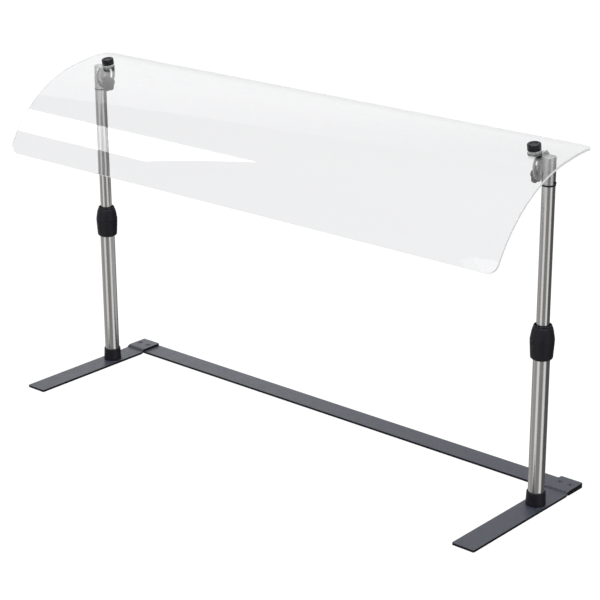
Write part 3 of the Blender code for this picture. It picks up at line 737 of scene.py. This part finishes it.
def lock_body_mesh():
    bore = LOWER_RADIUS + GAP
    neck = LOCK_NECK_RADIUS
    lip = 14.8 * MM
    corners = [
        (bore, LOCK_BOTTOM, 0.3 * MM),
        (18.2 * MM, LOCK_BOTTOM, 0.6 * MM),
        (21.4 * MM, LOCK_BOTTOM + 2.6 * MM, 3 * MM),
        (22.2 * MM, LOCK_BOTTOM + 14 * MM, 30 * MM),
        (23.3 * MM, LOCK_SEAM - 1.2 * MM, 2 * MM),
        (LOCK_SEAM_RADIUS, LOCK_SEAM, 0.3 * MM),
        (neck, LOCK_SEAM, 0),
        (neck, LOCK_NECK_TOP, 0.3 * MM),
        (lip, LOCK_NECK_TOP, 0.3 * MM),
        (lip, LOWER_TOP + GAP, 0),
        (bore, LOWER_TOP + GAP, 0),
    ]
    return lathe(corners, TUBE_SIDES, soft_flats)


def twist_ring_mesh():
    thread = LOCK_NECK_RADIUS + GAP
    mouth = UPPER_RADIUS + 0.4 * MM
    shoulder = LOCK_TOP - LOCK_LIP
    floor = shoulder - 2.5 * MM
    corners = [
        (thread, LOCK_SEAM + GAP, 0),
        (LOCK_SEAM_RADIUS, LOCK_SEAM + GAP, 0.3 * MM),
        (LOCK_WIDEST, LOCK_SEAM + 1.5 * MM, 1 * MM),
        (LOCK_WIDEST, LOCK_SEAM + 6 * MM, 12 * MM),
        (20.9 * MM, LOCK_SEAM + 21 * MM, 40 * MM),
        (19.1 * MM, shoulder, 0.7 * MM),
        (17.8 * MM, shoulder + 0.8 * MM, 0.5 * MM),
        (17.5 * MM, LOCK_TOP, 1.6 * MM),
        (15.3 * MM, LOCK_TOP, 0.8 * MM),
        (15.1 * MM, shoulder, 0.4 * MM),
        (mouth, shoulder, 0),
        (mouth, floor, 0),
        (COLLET_TOP_RADIUS, floor, 0),
        (COLLET_BOTTOM_RADIUS, LOCK_NECK_TOP + GAP, 0),
        (thread, LOCK_NECK_TOP + GAP, 0),
    ]
    return lathe(corners, TUBE_SIDES, soft_flats)


def dress_posts():
    for side in SIDES:
        dress_side(side, post_frame(side), {
            "base_socket": base_socket_mesh(),
            "lower_tube": tube_mesh(*span(f"{side}_lower_tube")),
            "lock_body": lock_body_mesh(),
            "twist_ring": twist_ring_mesh(),
            "upper_tube": tube_mesh(*span(f"{side}_upper_tube")),
        })


# ---- Heads ----

PIN_RADIUS = 3.7 * MM
STUD_RADIUS = 3 * MM
STUD_BORE = STUD_RADIUS + 0.7 * MM
HEAD_DRILL = 20 * MM  # how far in a cutter for the head reaches
HEAD_SCREW_Z = centre_of("left_head_screw").z
HEAD_SCREW_RADIUS = 2 * MM
HEAD_SCREW_HEAD = 2.9 * MM
HEAD_SCREW_START = 5 * MM  # of its hole, from the post's axis
POST_X = post_frame("left").translation.x
SADDLE_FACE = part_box("left_saddle")[1].x - POST_X
PLATE_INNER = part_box("left_tilt_plate")[0].x - POST_X
PLATE_THICKNESS = 2.5 * MM
PLATE_OUTER = PLATE_INNER + PLATE_THICKNESS
PLATE_RADIUS = 27.4 * MM
PLATE_EDGE = 0.3 * MM
CLAMP_DROP = PIVOT.z - CLAMP_Z
CLAMP_WASHER = 1.1 * MM
CLAMP_LOBES = 5
SLOT_HALF_SWEEP = math.radians(125)
STUD_INBOARD = abs(JOINTS["left_panel_knob_turn"]["pos_m"][0] - POST_X)
FLANGE_THICKNESS = 3 * MM
FLANGE_HALF_WIDTH = 13 * MM
BRACKET_BEND = 2.5 * MM


def stud_span(node):
    """(bottom, top) of a round node on the panel's stud, as heights above the pivot along it."""
    low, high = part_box(node)
    spread = (high.x - low.x) / 2 * math.sin(REST_TILT)
    slope = math.cos(REST_TILT)
    return (low.z + spread - PIVOT.z) / slope, (high.z - spread - PIVOT.z) / slope


PAD_BOTTOM, PAD_TOP = stud_span("left_flange_pad")
WASHER_BOTTOM, WASHER_TOP = stud_span("left_panel_washer")
FLANGE_TOP = PAD_BOTTOM - GAP
FLANGE_BOTTOM = FLANGE_TOP - FLANGE_THICKNESS
PANEL_UNDERSIDE = PAD_TOP + GAP
PANEL_TOP = WASHER_BOTTOM - GAP
KNOB_RADIUS = span("left_panel_knob")[0]
KNOB_BOTTOM = WASHER_TOP + GAP
KNOB_TOP = KNOB_BOTTOM + 12.6 * MM
STUD_END = FLANGE_BOTTOM - 2.5 * MM


def head_drills(start, height):
    """Cutters for the pin and clamp stud holes, from X = start, in a frame at this height."""
    return [
        (drill(PIN_RADIUS + GAP, HEAD_DRILL), at(start, 0, PIVOT.z - height) @ INBOARD),
        (drill(STUD_RADIUS + GAP, HEAD_DRILL), at(start, 0, CLAMP_Z - height) @ INBOARD),
    ]


def drilled_head(mesh):
    """With the pivot, clamp and lock screw holes in it."""
    screw_hole = at(-HEAD_SCREW_START, 0, HEAD_SCREW_Z) @ OUTBOARD
    screw_drill = drill(HEAD_SCREW_RADIUS + GAP, HEAD_DRILL)
    return carved(mesh, [*head_drills(-2 * MM, 0), (screw_drill, screw_hole)])


def head_plug_mesh():
    flange, bottom, top = span("left_head_plug")
    ring_bottom = UPPER_TOP + GAP
    ring_top = span("left_head_sleeve")[1] - GAP
    spigot = UPPER_RADIUS - TUBE_WALL - GAP
    corners = [
        (0, top, 0),
        (spigot, top, 0.5 * MM),
        (spigot, ring_top, 0),
        (flange, ring_top, 0.6 * MM),
        (flange, ring_bottom, 0.6 * MM),
        (spigot, ring_bottom, 0),
        (spigot, bottom, 0.5 * MM),
        (0, bottom, 0),
    ]
    return drilled_head(lathe(corners))


def head_sleeve_mesh():
    radius, bottom, top = span("left_head_sleeve")
    bore = radius - TUBE_WALL
    roof = top - 4.2 * MM
    corners = [
        (0, top, 0),
        (radius, top, 1.1 * MM),
        (radius, bottom, 0.3 * MM),
        (bore, bottom, 0.3 * MM),
        (bore, roof, 0),
        (0, roof, 0),
    ]
    return drilled_head(lathe(corners))


def head_screw_mesh():
    tip = HEAD_SCREW_START + GAP
    seat = UPPER_RADIUS + GAP
    top = seat + 2.2 * MM
    slot_length = 8 * MM
    slot_width = 0.7 * MM
    slot_depth = 0.9 * MM
    corners = [
        (0, tip, 0),
        (HEAD_SCREW_RADIUS, tip, 0.3 * MM),
        (HEAD_SCREW_RADIUS, seat, 0),
        (HEAD_SCREW_HEAD, seat, 0.2 * MM),
        (HEAD_SCREW_HEAD, top, 1 * MM),
        (0, top, 0),
    ]
    quarters = ((-1, -1), (1, -1), (1, 1), (-1, 1))
    slot = prism([(x * slot_length / 2, y * slot_width / 2) for x, y in quarters], 2 * MM)
    screw = lathe(corners, SCREW_SIDES)
    return carved(screw, [(slot, at(z=top - slot_depth))])


def saddle_mesh():
    low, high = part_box("left_saddle")
    half_width = (high.y - low.y) / 2
    wrap = UPPER_RADIUS + GAP
    reach = math.asin(half_width / wrap) * 0.97  # just short of the block's sides
    back = arc((0, 0), wrap, -reach, reach, steps=24)
    outline = back + [(SADDLE_FACE, half_width), (SADDLE_FACE, -half_width)]
    block = prism(outline, high.z - low.z, 0.4 * MM)
    return carved(block, head_drills(0, low.z)), at(z=low.z)


def pivot_pin_mesh():
    seat = PLATE_OUTER + GAP
    head = 7 * MM
    corners = [
        (0, -1 * MM, 0),
        (PIN_RADIUS, -1 * MM, 0.4 * MM),
        (PIN_RADIUS, seat, 0),
        (head, seat, 0.2 * MM),
        (head, seat + 1.3 * MM, 0.8 * MM),
        (head - 2 * MM, seat + 2.4 * MM, 2 * MM),
        (0, seat + 2.6 * MM, 0),
    ]
    return lathe(corners, SCREW_SIDES)


def clamp_lobes(angle, radius, height):
    """Broad lobes with narrow hollows, one lobe straight up when the knob is on its post."""
    depth = 0.2 * smoothstep(8 * MM, 12 * MM, radius)
    hollow = (0.5 + 0.5 * math.cos(CLAMP_LOBES * angle)) ** 1.6
    return radius * (1 - depth * hollow)


def clamp_knob_mesh():
    hub_start = PLATE_OUTER + GAP + CLAMP_WASHER + GAP
    hub = 7 * MM
    grip_start = 22.5 * MM
    grip_end = 31 * MM
    reach = 16.2 * MM
    groove_floor = grip_end - 0.9 * MM  # round the cap in the knob's face
    corners = [
        (0, 0, 0),
        (STUD_RADIUS, 0, 0.4 * MM),
        (STUD_RADIUS, hub_start, 0),
        (hub, hub_start, 0.4 * MM),
        (hub, grip_start, 0.8 * MM),
        (reach, grip_start, 1.6 * MM),
        (reach, grip_end - 1 * MM, 2.6 * MM),
        (9 * MM, grip_end, 1 * MM),
        (6.4 * MM, grip_end, 0.4 * MM),
        (6.2 * MM, groove_floor, 0.2 * MM),
        (5.7 * MM, groove_floor, 0.2 * MM),
        (5.5 * MM, grip_end - 0.2 * MM, 0.3 * MM),
        (0, grip_end - 0.1 * MM, 0),
    ]
    return lathe(corners, KNOB_SIDES, clamp_lobes)


def panel_knob_mesh():
    """A plain round knob with a groove low on its side and a dish in its top."""
    groove = KNOB_RADIUS - 0.5 * MM
    dish_floor = KNOB_TOP - 1.8 * MM
    corners = [
        (0, STUD_END, 0),
        (STUD_RADIUS, STUD_END, 0.5 * MM),
        (STUD_RADIUS, KNOB_BOTTOM, 0),
        (KNOB_RADIUS, KNOB_BOTTOM, 1.0 * MM),
        (KNOB_RADIUS, KNOB_BOTTOM + 3.6 * MM, 0.3 * MM),
        (groove, KNOB_BOTTOM + 4.0 * MM, 0.2 * MM),
        (groove, KNOB_BOTTOM + 4.5 * MM, 0.2 * MM),
        (KNOB_RADIUS, KNOB_BOTTOM + 4.9 * MM, 0.3 * MM),
        (KNOB_RADIUS, KNOB_TOP, 2.2 * MM),
        (KNOB_RADIUS - 4.6 * MM, KNOB_TOP, 1.2 * MM),
        (KNOB_RADIUS - 6.2 * MM, dish_floor, 0.8 * MM),
        (0, dish_floor, 0),
    ]
    return lathe(corners, KNOB_SIDES)


def slot_outline():
    """The C slot about the pivot, open towards the flange, in the plate's Y and Z."""
    start = -math.pi / 2 - SLOT_HALF_SWEEP
    end = -math.pi / 2 + SLOT_HALF_SWEEP
    outer = arc((0, 0), CLAMP_DROP + STUD_BORE, start, end, steps=64)
    inner = arc((0, 0), CLAMP_DROP - STUD_BORE, end, start, steps=48)
    far = (CLAMP_DROP * math.cos(end), CLAMP_DROP * math.sin(end))
    near = (CLAMP_DROP * math.cos(start), CLAMP_DROP * math.sin(start))
    far_end = arc(far, STUD_BORE, end, end + math.pi, steps=14)[1:-1]
    near_end = arc(near, STUD_BORE, start + math.pi, start + math.tau, steps=14)[1:-1]
    return outer + far_end + inner + near_end


# A prism drawn in X and Y stands in the plate's Y and Z, with its depth inboard
STANDING = Matrix(((0, 0, 1, 0), (1, 0, 0, 0), (0, 1, 0, 0), (0, 0, 0, 1)))


def tilt_plate_mesh():
    """A disc with a C slot, its top bent inboard into the flange under the panel."""
    start = math.asin(FLANGE_TOP / PLATE_RADIUS)
    rim = arc((0, 0), PLATE_RADIUS, math.pi - start, math.tau + start, steps=96)
    disc = prism(rim, PLATE_THICKNESS, PLATE_EDGE)
    disc.transform(at(PLATE_INNER) @ STANDING)
    tip = arc((STUD_INBOARD, 0), FLANGE_HALF_WIDTH, -math.pi / 2, math.pi / 2, steps=40)
    outline = [(PLATE_INNER, -FLANGE_HALF_WIDTH), *tip, (PLATE_INNER, FLANGE_HALF_WIDTH)]
    flange = prism(outline, FLANGE_THICKNESS, PLATE_EDGE)
    overlap = 1 * MM  # of the filling in the bend with the disc and the flange
    bend_half_width = FLANGE_HALF_WIDTH - 0.5 * MM
    inside = (PLATE_OUTER + BRACKET_BEND, FLANGE_BOTTOM - BRACKET_BEND)
    filling = [(PLATE_OUTER - overlap, FLANGE_BOTTOM + overlap), (PLATE_OUTER - overlap, inside[1])]
    filling += arc(inside, BRACKET_BEND, math.pi, math.pi / 2, steps=8)
    filling.append((inside[0], FLANGE_BOTTOM + overlap))
    bend = prism(filling, 2 * bend_half_width)
    bend_place = at(y=bend_half_width) @ Matrix.Rotation(math.pi / 2, 4, "X")
    plate = carved(disc, [(flange, at(z=FLANGE_BOTTOM)), (bend, bend_place)], "UNION")
    slot = prism(slot_outline(), PLATE_THICKNESS + 2 * CUT_PAST)
    stud_hole = drill(STUD_RADIUS + GAP, FLANGE_THICKNESS + 2 * CUT_PAST)
    tools = [
        (slot, at(PLATE_INNER - CUT_PAST) @ STANDING),
        (drill(PIN_RADIUS + GAP, 8 * MM), at(PLATE_INNER - 2 * MM) @ INBOARD),
        (stud_hole, at(STUD_INBOARD, 0, FLANGE_BOTTOM - CUT_PAST)),
    ]
    return carved(plate, tools)


def clamp_washer_mesh():
    seat = PLATE_OUTER + GAP
    return ring(STUD_RADIUS + GAP, 7.5 * MM, seat, seat + CLAMP_WASHER, 0.25 * MM, 2 * SCREW_SIDES)


def dress_heads():
    pad_radius = FLANGE_HALF_WIDTH - 0.5 * MM
    for side in SIDES:
        post = post_frame(side)
        bracket = pivot_frame(side)
        saddle, saddle_place = saddle_mesh()
        dress_side(side, post, {"head_plug": head_plug_mesh(), "head_sleeve": head_sleeve_mesh()})
        dress(f"{side}_head_screw", head_screw_mesh(), post @ at(z=HEAD_SCREW_Z) @ OUTBOARD)
        dress(f"{side}_saddle", saddle, post @ saddle_place)
        dress(f"{side}_pivot_pin", pivot_pin_mesh(), post @ at(z=PIVOT.z) @ INBOARD)
        dress_side(side, post @ at(z=CLAMP_Z) @ INBOARD, {
            "clamp_washer": clamp_washer_mesh(),
            "clamp_knob": clamp_knob_mesh(),
        })
        dress(f"{side}_tilt_plate", tilt_plate_mesh(), bracket)
        dress_side(side, bracket @ at(STUD_INBOARD), {
            "flange_pad": ring(STUD_BORE, pad_radius, PAD_BOTTOM, PAD_TOP, 0.2 * MM),
            "panel_washer": ring(STUD_BORE, KNOB_RADIUS, WASHER_BOTTOM, WASHER_TOP, 0.3 * MM),
            "panel_knob": panel_knob_mesh(),
        })


# ---- Panel ----

PANEL_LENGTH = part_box("guard_panel")[1].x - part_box("guard_panel")[0].x
PANEL_CLAMP_FLAT = 14 * MM  # each way from the studs
PANEL_REAR_RADIUS = 295 * MM  # through the middle of the sheet, as for the front
PANEL_REAR_BEND = math.radians(12)
PANEL_FRONT_RADIUS = 275 * MM
PANEL_FRONT_BEND = math.radians(52)
PANEL_FRONT_FLAT = 22 * MM
PANEL_REAR_CURL = PANEL_REAR_RADIUS * PANEL_REAR_BEND
PANEL_FRONT_CURL = PANEL_FRONT_RADIUS * PANEL_FRONT_BEND
PANEL_REAR_EDGE = PANEL_CLAMP_FLAT + PANEL_REAR_CURL  # behind the studs, along the sheet
PANEL_CORNER_RADIUS = 20 * MM
PANEL_EDGE = 0.5 * MM
REAR_STEPS = 20
FRONT_STEPS = 76


def sheet_path(distance):
    """(place, direction) in the bracket's Y and Z, for a distance forward from the studs."""
    middle = (PANEL_UNDERSIDE + PANEL_TOP) / 2
    rearwards = distance < 0
    facing = 1 if rearwards else -1
    radius = PANEL_REAR_RADIUS if rearwards else PANEL_FRONT_RADIUS
    bend = PANEL_REAR_BEND if rearwards else PANEL_FRONT_BEND
    along = abs(distance)
    if along <= PANEL_CLAMP_FLAT:
        return Vector((facing * along, middle)), Vector((-1, 0))
    angle = min((along - PANEL_CLAMP_FLAT) / radius, bend)
    beyond = along - PANEL_CLAMP_FLAT - angle * radius
    y = PANEL_CLAMP_FLAT + radius * math.sin(angle) + beyond * math.cos(angle)
    z = middle - radius * (1 - math.cos(angle)) - beyond * math.sin(angle)
    return Vector((facing * y, z)), Vector((-math.cos(angle), facing * math.sin(angle)))


def flat_sheet():
    """The sheet before bending: X along it, Y forward from the studs, Z through its thickness."""
    front_edge = PANEL_CLAMP_FLAT + PANEL_FRONT_CURL + PANEL_FRONT_FLAT
    thickness = PANEL_TOP - PANEL_UNDERSIDE
    width = PANEL_REAR_EDGE + front_edge
    outline = rounded_rectangle(PANEL_LENGTH, width, PANEL_CORNER_RADIUS, steps=16)
    sheet = prism(outline, thickness, PANEL_EDGE)
    sheet.transform(at(0, (front_edge - PANEL_REAR_EDGE) / 2, -thickness / 2))
    stud_x = abs(POST_X) - STUD_INBOARD
    tools = []
    for x in (-stud_x, stud_x):
        hole = drill(STUD_BORE, thickness + 4 * MM)
        tools.append((hole, at(x, 0, -thickness / 2 - 2 * MM)))
    return carved(sheet, tools)


def bend_stations():
    """Where the sheet needs an edge across it, as distances forward from the studs."""
    rear = [-PANEL_CLAMP_FLAT - PANEL_REAR_CURL * i / REAR_STEPS for i in range(REAR_STEPS)]
    front = [PANEL_CLAMP_FLAT + PANEL_FRONT_CURL * i / FRONT_STEPS for i in range(FRONT_STEPS + 1)]
    return rear + front


def panel_mesh():
    """The bent sheet, with its rim in the second material slot."""
    bm = bmesh.new()
    bm.from_mesh(flat_sheet())
    for face in bm.faces:
        on_rim = abs(face.normal.z) < 0.9
        face.material_index = 1 if on_rim else 0
    for station in bend_stations():
        cut = {"plane_co": (0, station, 0), "plane_no": (0, 1, 0)}
        bmesh.ops.bisect_plane(bm, geom=bm.verts[:] + bm.edges[:] + bm.faces[:], dist=1e-7, **cut)
    for vert in bm.verts:
        place, direction = sheet_path(vert.co.y)
        lifted = place + Vector((direction.y, -direction.x)) * vert.co.z
        vert.co = Vector((vert.co.x, lifted.x, lifted.y))
    return finished(bm, sharp_from=30)


def dress_panel():
    sheet = panel_mesh()
    sheet.transform(at(0, PIVOT.y, PIVOT.z) @ Matrix.Rotation(REST_TILT, 4, "X"))
    panel = dress("guard_panel", sheet)
    panel.data.materials.append(EDGE_LOOK)


# ---- Hidden CAD parts ----


def paint_cad_nodes():
    """The plugs, bushes and collets inside the posts keep their CAD shape."""
    for node, piece in frame["nodes"].items():
        if piece.hide_render:
            continue
        piece.data.materials.clear()
        piece.data.materials.append(LOOKS[SLOT_OF[node]])


# ---- Studio ----

FLOOR_HALF_WIDTH = 30
FLOOR_DROP = 0.2 * MM  # below the part's feet
LOWEST_LEVEL = 0.02  # of the studio's light

# Light of the studio by the sine of the height it comes from, mapped from -1..1 to 0..1
HEIGHT_LEVELS = ((0.0, 0.55), (0.30, 0.42), (0.52, 0.42), (0.66, 0.75), (0.80, 0.75), (1.0, 1.1))

# Upright panels of light and dark round the set: (middle azimuth, half width, soft edge, brightness)
STUDIO_PANELS = (
    (-4, 12, 8, 0.64),
    (85, 12, 8, 0.64),
    (41, 18, 8, -0.12),
    (150, 42, 12, -0.30),
    (-75, 8, 10, 0.15),
    (-140, 14, 10, 0.12),
)
PANEL_TOP_FADE = (0.25, 0.45)  # the heights between which they end

ZENITH_GLOW = 4.0  # extra, overhead, in reflections only
ZENITH_FADE = (0.86, 0.93)

# Extra light that only the clear sheet mirrors: name, corners, height, left and right level
WEDGE_CORNERS = ((-6, -0.71), (-1.48, -0.71), (-2.47, -1.70), (-6, -1.70))
REAR_CORNERS = ((-60, -33), (-2.39, -0.13), (-1.32, 0.49), (-0.63, 1.07), (30, 26.8), (-60, 60))
PATCH_CORNERS = ((-1.46, -2.9), (-1, -2.9), (-1, -2.38), (-1.19, -2.4), (-1.46, -2.61))
CARDS = (
    ("wedge_card", WEDGE_CORNERS, 2.27, 4.0, 3.2),
    ("rear_card", REAR_CORNERS, 2.28, 0.42, 0.08),
    ("corner_card", PATCH_CORNERS, 2.27, 0.9, 0.9),
)
CARD_BLEND = (-2.2, -0.9)  # the X between which a card goes from its left to its right level
FAR_FADE = (1.0, 5.0)  # the Y between which a card fades to the far level
FAR_CARD_LEVEL = 0.05  # far behind the set, where the sheet mirrors at a graze

# A pale board on the table behind the left post, in its tubes only
LOW_CARD_CORNERS = ((-0.5, 0.15), (0.5, 0.15), (0.5, 1.6), (-0.5, 1.6))
LOW_CARD_HEIGHT = 1 * MM
LOW_CARD_LEVEL = 0.42


def add_floor():
    bm = bmesh.new()
    bmesh.ops.create_grid(bm, x_segments=1, y_segments=1, size=FLOOR_HALF_WIDTH)
    floor = put_in_scene("floor", finished(bm))
    floor.location.z = -FLOOR_DROP
    material, nodes, shader = new_look("pale_floor")
    nodes.fill(shader, {
        "Base Color": rgb(0.05, 0.05, 0.05),
        "Roughness": 0.9,
        "Specular IOR Level": 0.0,
        "Emission Color": rgb(1.0, 1.0, 1.0),
        "Emission Strength": 0.98,
    })
    floor.data.materials.append(material)
    floor.visible_glossy = False
    floor.visible_diffuse = False


def aim(obj, target):
    obj.rotation_mode = "QUATERNION"
    obj.rotation_quaternion = (target - obj.location).to_track_quat("-Z", "Y")


def add_softbox(name, place, target, width, power, seen=True):
    """A square lamp, seen or unseen in reflections."""
    light = bpy.data.lights.new(name, "AREA")
    light.size = width
    light.energy = power
    softbox = put_in_scene(name, light)
    softbox.location = place
    aim(softbox, target)
    softbox.visible_camera = False
    softbox.visible_glossy = seen
    softbox.visible_transmission = False
    return softbox


def add_card(name, corners, height, left, right, receivers):
    """A level sheet of extra light that only the receivers mirror. To all else it's not there."""
    bm = bmesh.new()
    bm.faces.new([bm.verts.new((x, y, height)) for x, y in reversed(corners)])
    mesh = bpy.data.meshes.new(name)
    bm.to_mesh(mesh)
    bm.free()
    card = put_in_scene(name, mesh)
    material, nodes, shader = new_look(name)
    place = nodes.add("ShaderNodeSeparateXYZ", {"Vector": nodes.place()}).outputs
    near = nodes.remap(place["X"], *CARD_BLEND, left, right)
    far = nodes.remap(place["Y"], *FAR_FADE)
    away = nodes.math("MULTIPLY", far, nodes.math("SUBTRACT", FAR_CARD_LEVEL, near))
    level = nodes.math("ADD", near, away)
    glow = nodes.add("ShaderNodeEmission", {"Strength": level}).outputs["Emission"]
    clear = nodes.add("ShaderNodeBsdfTransparent", {}).outputs["BSDF"]
    both = nodes.add("ShaderNodeAddShader", {0: glow, 1: clear}).outputs["Shader"]
    nodes.tree.nodes.remove(shader)
    nodes.fill(nodes.tree.nodes["Material Output"], {"Surface": both})
    material.cycles.emission_sampling = "NONE"
    mesh.materials.append(material)
    card.visible_camera = False
    card.visible_diffuse = False
    card.visible_shadow = False
    card.light_linking.receiver_collection = receivers
    return card


def only_for(name, nodes):
    """The visible pieces of these CAD nodes, as the only ones that a light falls on."""
    receivers = bpy.data.collections.new(name)
    for node in nodes:
        receivers.objects.link(bpy.data.objects[node + "_fine"])
    return receivers


def add_cards():
    sheet = only_for("clear_sheet", ("guard_panel",))
    for name, corners, height, left, right in CARDS:
        add_card(name, corners, height, left, right, sheet)
    left_tubes = only_for("left_tubes", ("left_upper_tube", "left_lower_tube", "left_head_sleeve"))
    level = LOW_CARD_LEVEL
    low_card = add_card("low_card", LOW_CARD_CORNERS, LOW_CARD_HEIGHT, level, level, left_tubes)
    low_card.visible_transmission = False


def height_level(nodes, height):
    """The studio's light at each height."""
    ramp = nodes.add("ShaderNodeValToRGB", {"Fac": nodes.remap(height, -1, 1)})
    elements = ramp.color_ramp.elements
    while len(elements) < len(HEIGHT_LEVELS):
        elements.new(0.5)
    for element, (position, level) in zip(elements, HEIGHT_LEVELS):
        element.position = position
        element.color = rgb(level, level, level * 1.01)
    return nodes.add("ShaderNodeRGBToBW", {"Color": ramp.outputs["Color"]}).outputs["Val"]


def panel_share(nodes, azimuth, middle, half, soft):
    """1 in front of an upright studio panel, falling to 0 past its soft edges."""
    away = nodes.math("SUBTRACT", azimuth, math.radians(middle))
    wrapped = nodes.add("ShaderNodeMath", {0: away, 1: math.pi, 2: -math.pi}, operation="WRAP")
    away = nodes.math("ABSOLUTE", wrapped.outputs["Value"])
    share = nodes.remap(away, math.radians(half + soft), math.radians(half))
    share.node.interpolation_type = "SMOOTHSTEP"
    return share


def add_studio_light():
    """The world: a soft room in reflections, and plain white wherever it is seen directly."""
    world = bpy.data.worlds.new("studio")
    bpy.context.scene.world = world
    world.use_nodes = True
    nodes = Nodes(world.node_tree)
    direction = nodes.add("ShaderNodeTexCoord", {}).outputs["Generated"]
    parts = nodes.add("ShaderNodeSeparateXYZ", {"Vector": direction}).outputs
    towards_front = nodes.math("MULTIPLY", parts["Y"], -1.0)
    azimuth = nodes.math("ARCTAN2", parts["X"], towards_front)
    level = height_level(nodes, parts["Z"])
    low_share = nodes.remap(parts["Z"], *PANEL_TOP_FADE, 1.0, 0.0)
    for middle, half, soft, brightness in STUDIO_PANELS:
        share = nodes.math("MULTIPLY", panel_share(nodes, azimuth, middle, half, soft), low_share)
        level = nodes.math("ADD", level, nodes.math("MULTIPLY", share, brightness))
    level = nodes.math("MAXIMUM", level, LOWEST_LEVEL)
    rays = nodes.add("ShaderNodeLightPath", {}).outputs
    zenith = nodes.remap(parts["Z"], *ZENITH_FADE, 0.0, ZENITH_GLOW)
    level = nodes.math("ADD", level, nodes.math("MULTIPLY", zenith, rays["Is Glossy Ray"]))
    seen = nodes.math("MAXIMUM", rays["Is Camera Ray"], rays["Is Transmission Ray"])
    level = nodes.math("MAXIMUM", level, seen)
    grey = nodes.add("ShaderNodeCombineColor", {0: level, 1: level, 2: level}).outputs[0]
    nodes.fill(world.node_tree.nodes["Background"], {"Color": grey})


def add_lights():
    add_studio_light()
    middle = Vector((0, 0, 0.3))
    add_softbox("overhead", Vector((0.2, -0.3, 3.2)), middle, 3.6, 150, seen=False)
    rear_left = add_softbox("rear_left", Vector((-2.5, 2.1, 1.1)), Vector((-0.3, 0, 0)), 1.3, 3.5)
    base_bars = only_for("base_bars", ("crossbar", "left_leg", "right_leg"))
    rear_left.light_linking.receiver_collection = base_bars
    add_cards()


def add_camera():
    data = bpy.data.cameras.new("camera")
    data.lens = CAMERA_LENS
    data.sensor_width = 36
    data.clip_start = 0.1
    data.clip_end = 100
    camera = put_in_scene("camera", data)
    level = math.cos(CAMERA_ELEVATION)
    back = Vector((
        math.sin(CAMERA_AZIMUTH) * level,
        -math.cos(CAMERA_AZIMUTH) * level,
        math.sin(CAMERA_ELEVATION),
    ))
    pan = Matrix.Rotation(CAMERA_AZIMUTH, 4, "Z")
    tip = Matrix.Rotation(math.pi / 2 - CAMERA_ELEVATION, 4, "X")
    roll = Matrix.Rotation(CAMERA_ROLL, 4, "Z")
    camera.matrix_world = at(*(CAMERA_TARGET + back * CAMERA_DISTANCE)) @ pan @ tip @ roll
    bpy.context.scene.camera = camera


dress_base()
dress_posts()
dress_heads()
dress_panel()
paint_cad_nodes()
add_floor()
add_lights()
add_camera()
bpy.context.scene.view_settings.view_transform = "Standard"
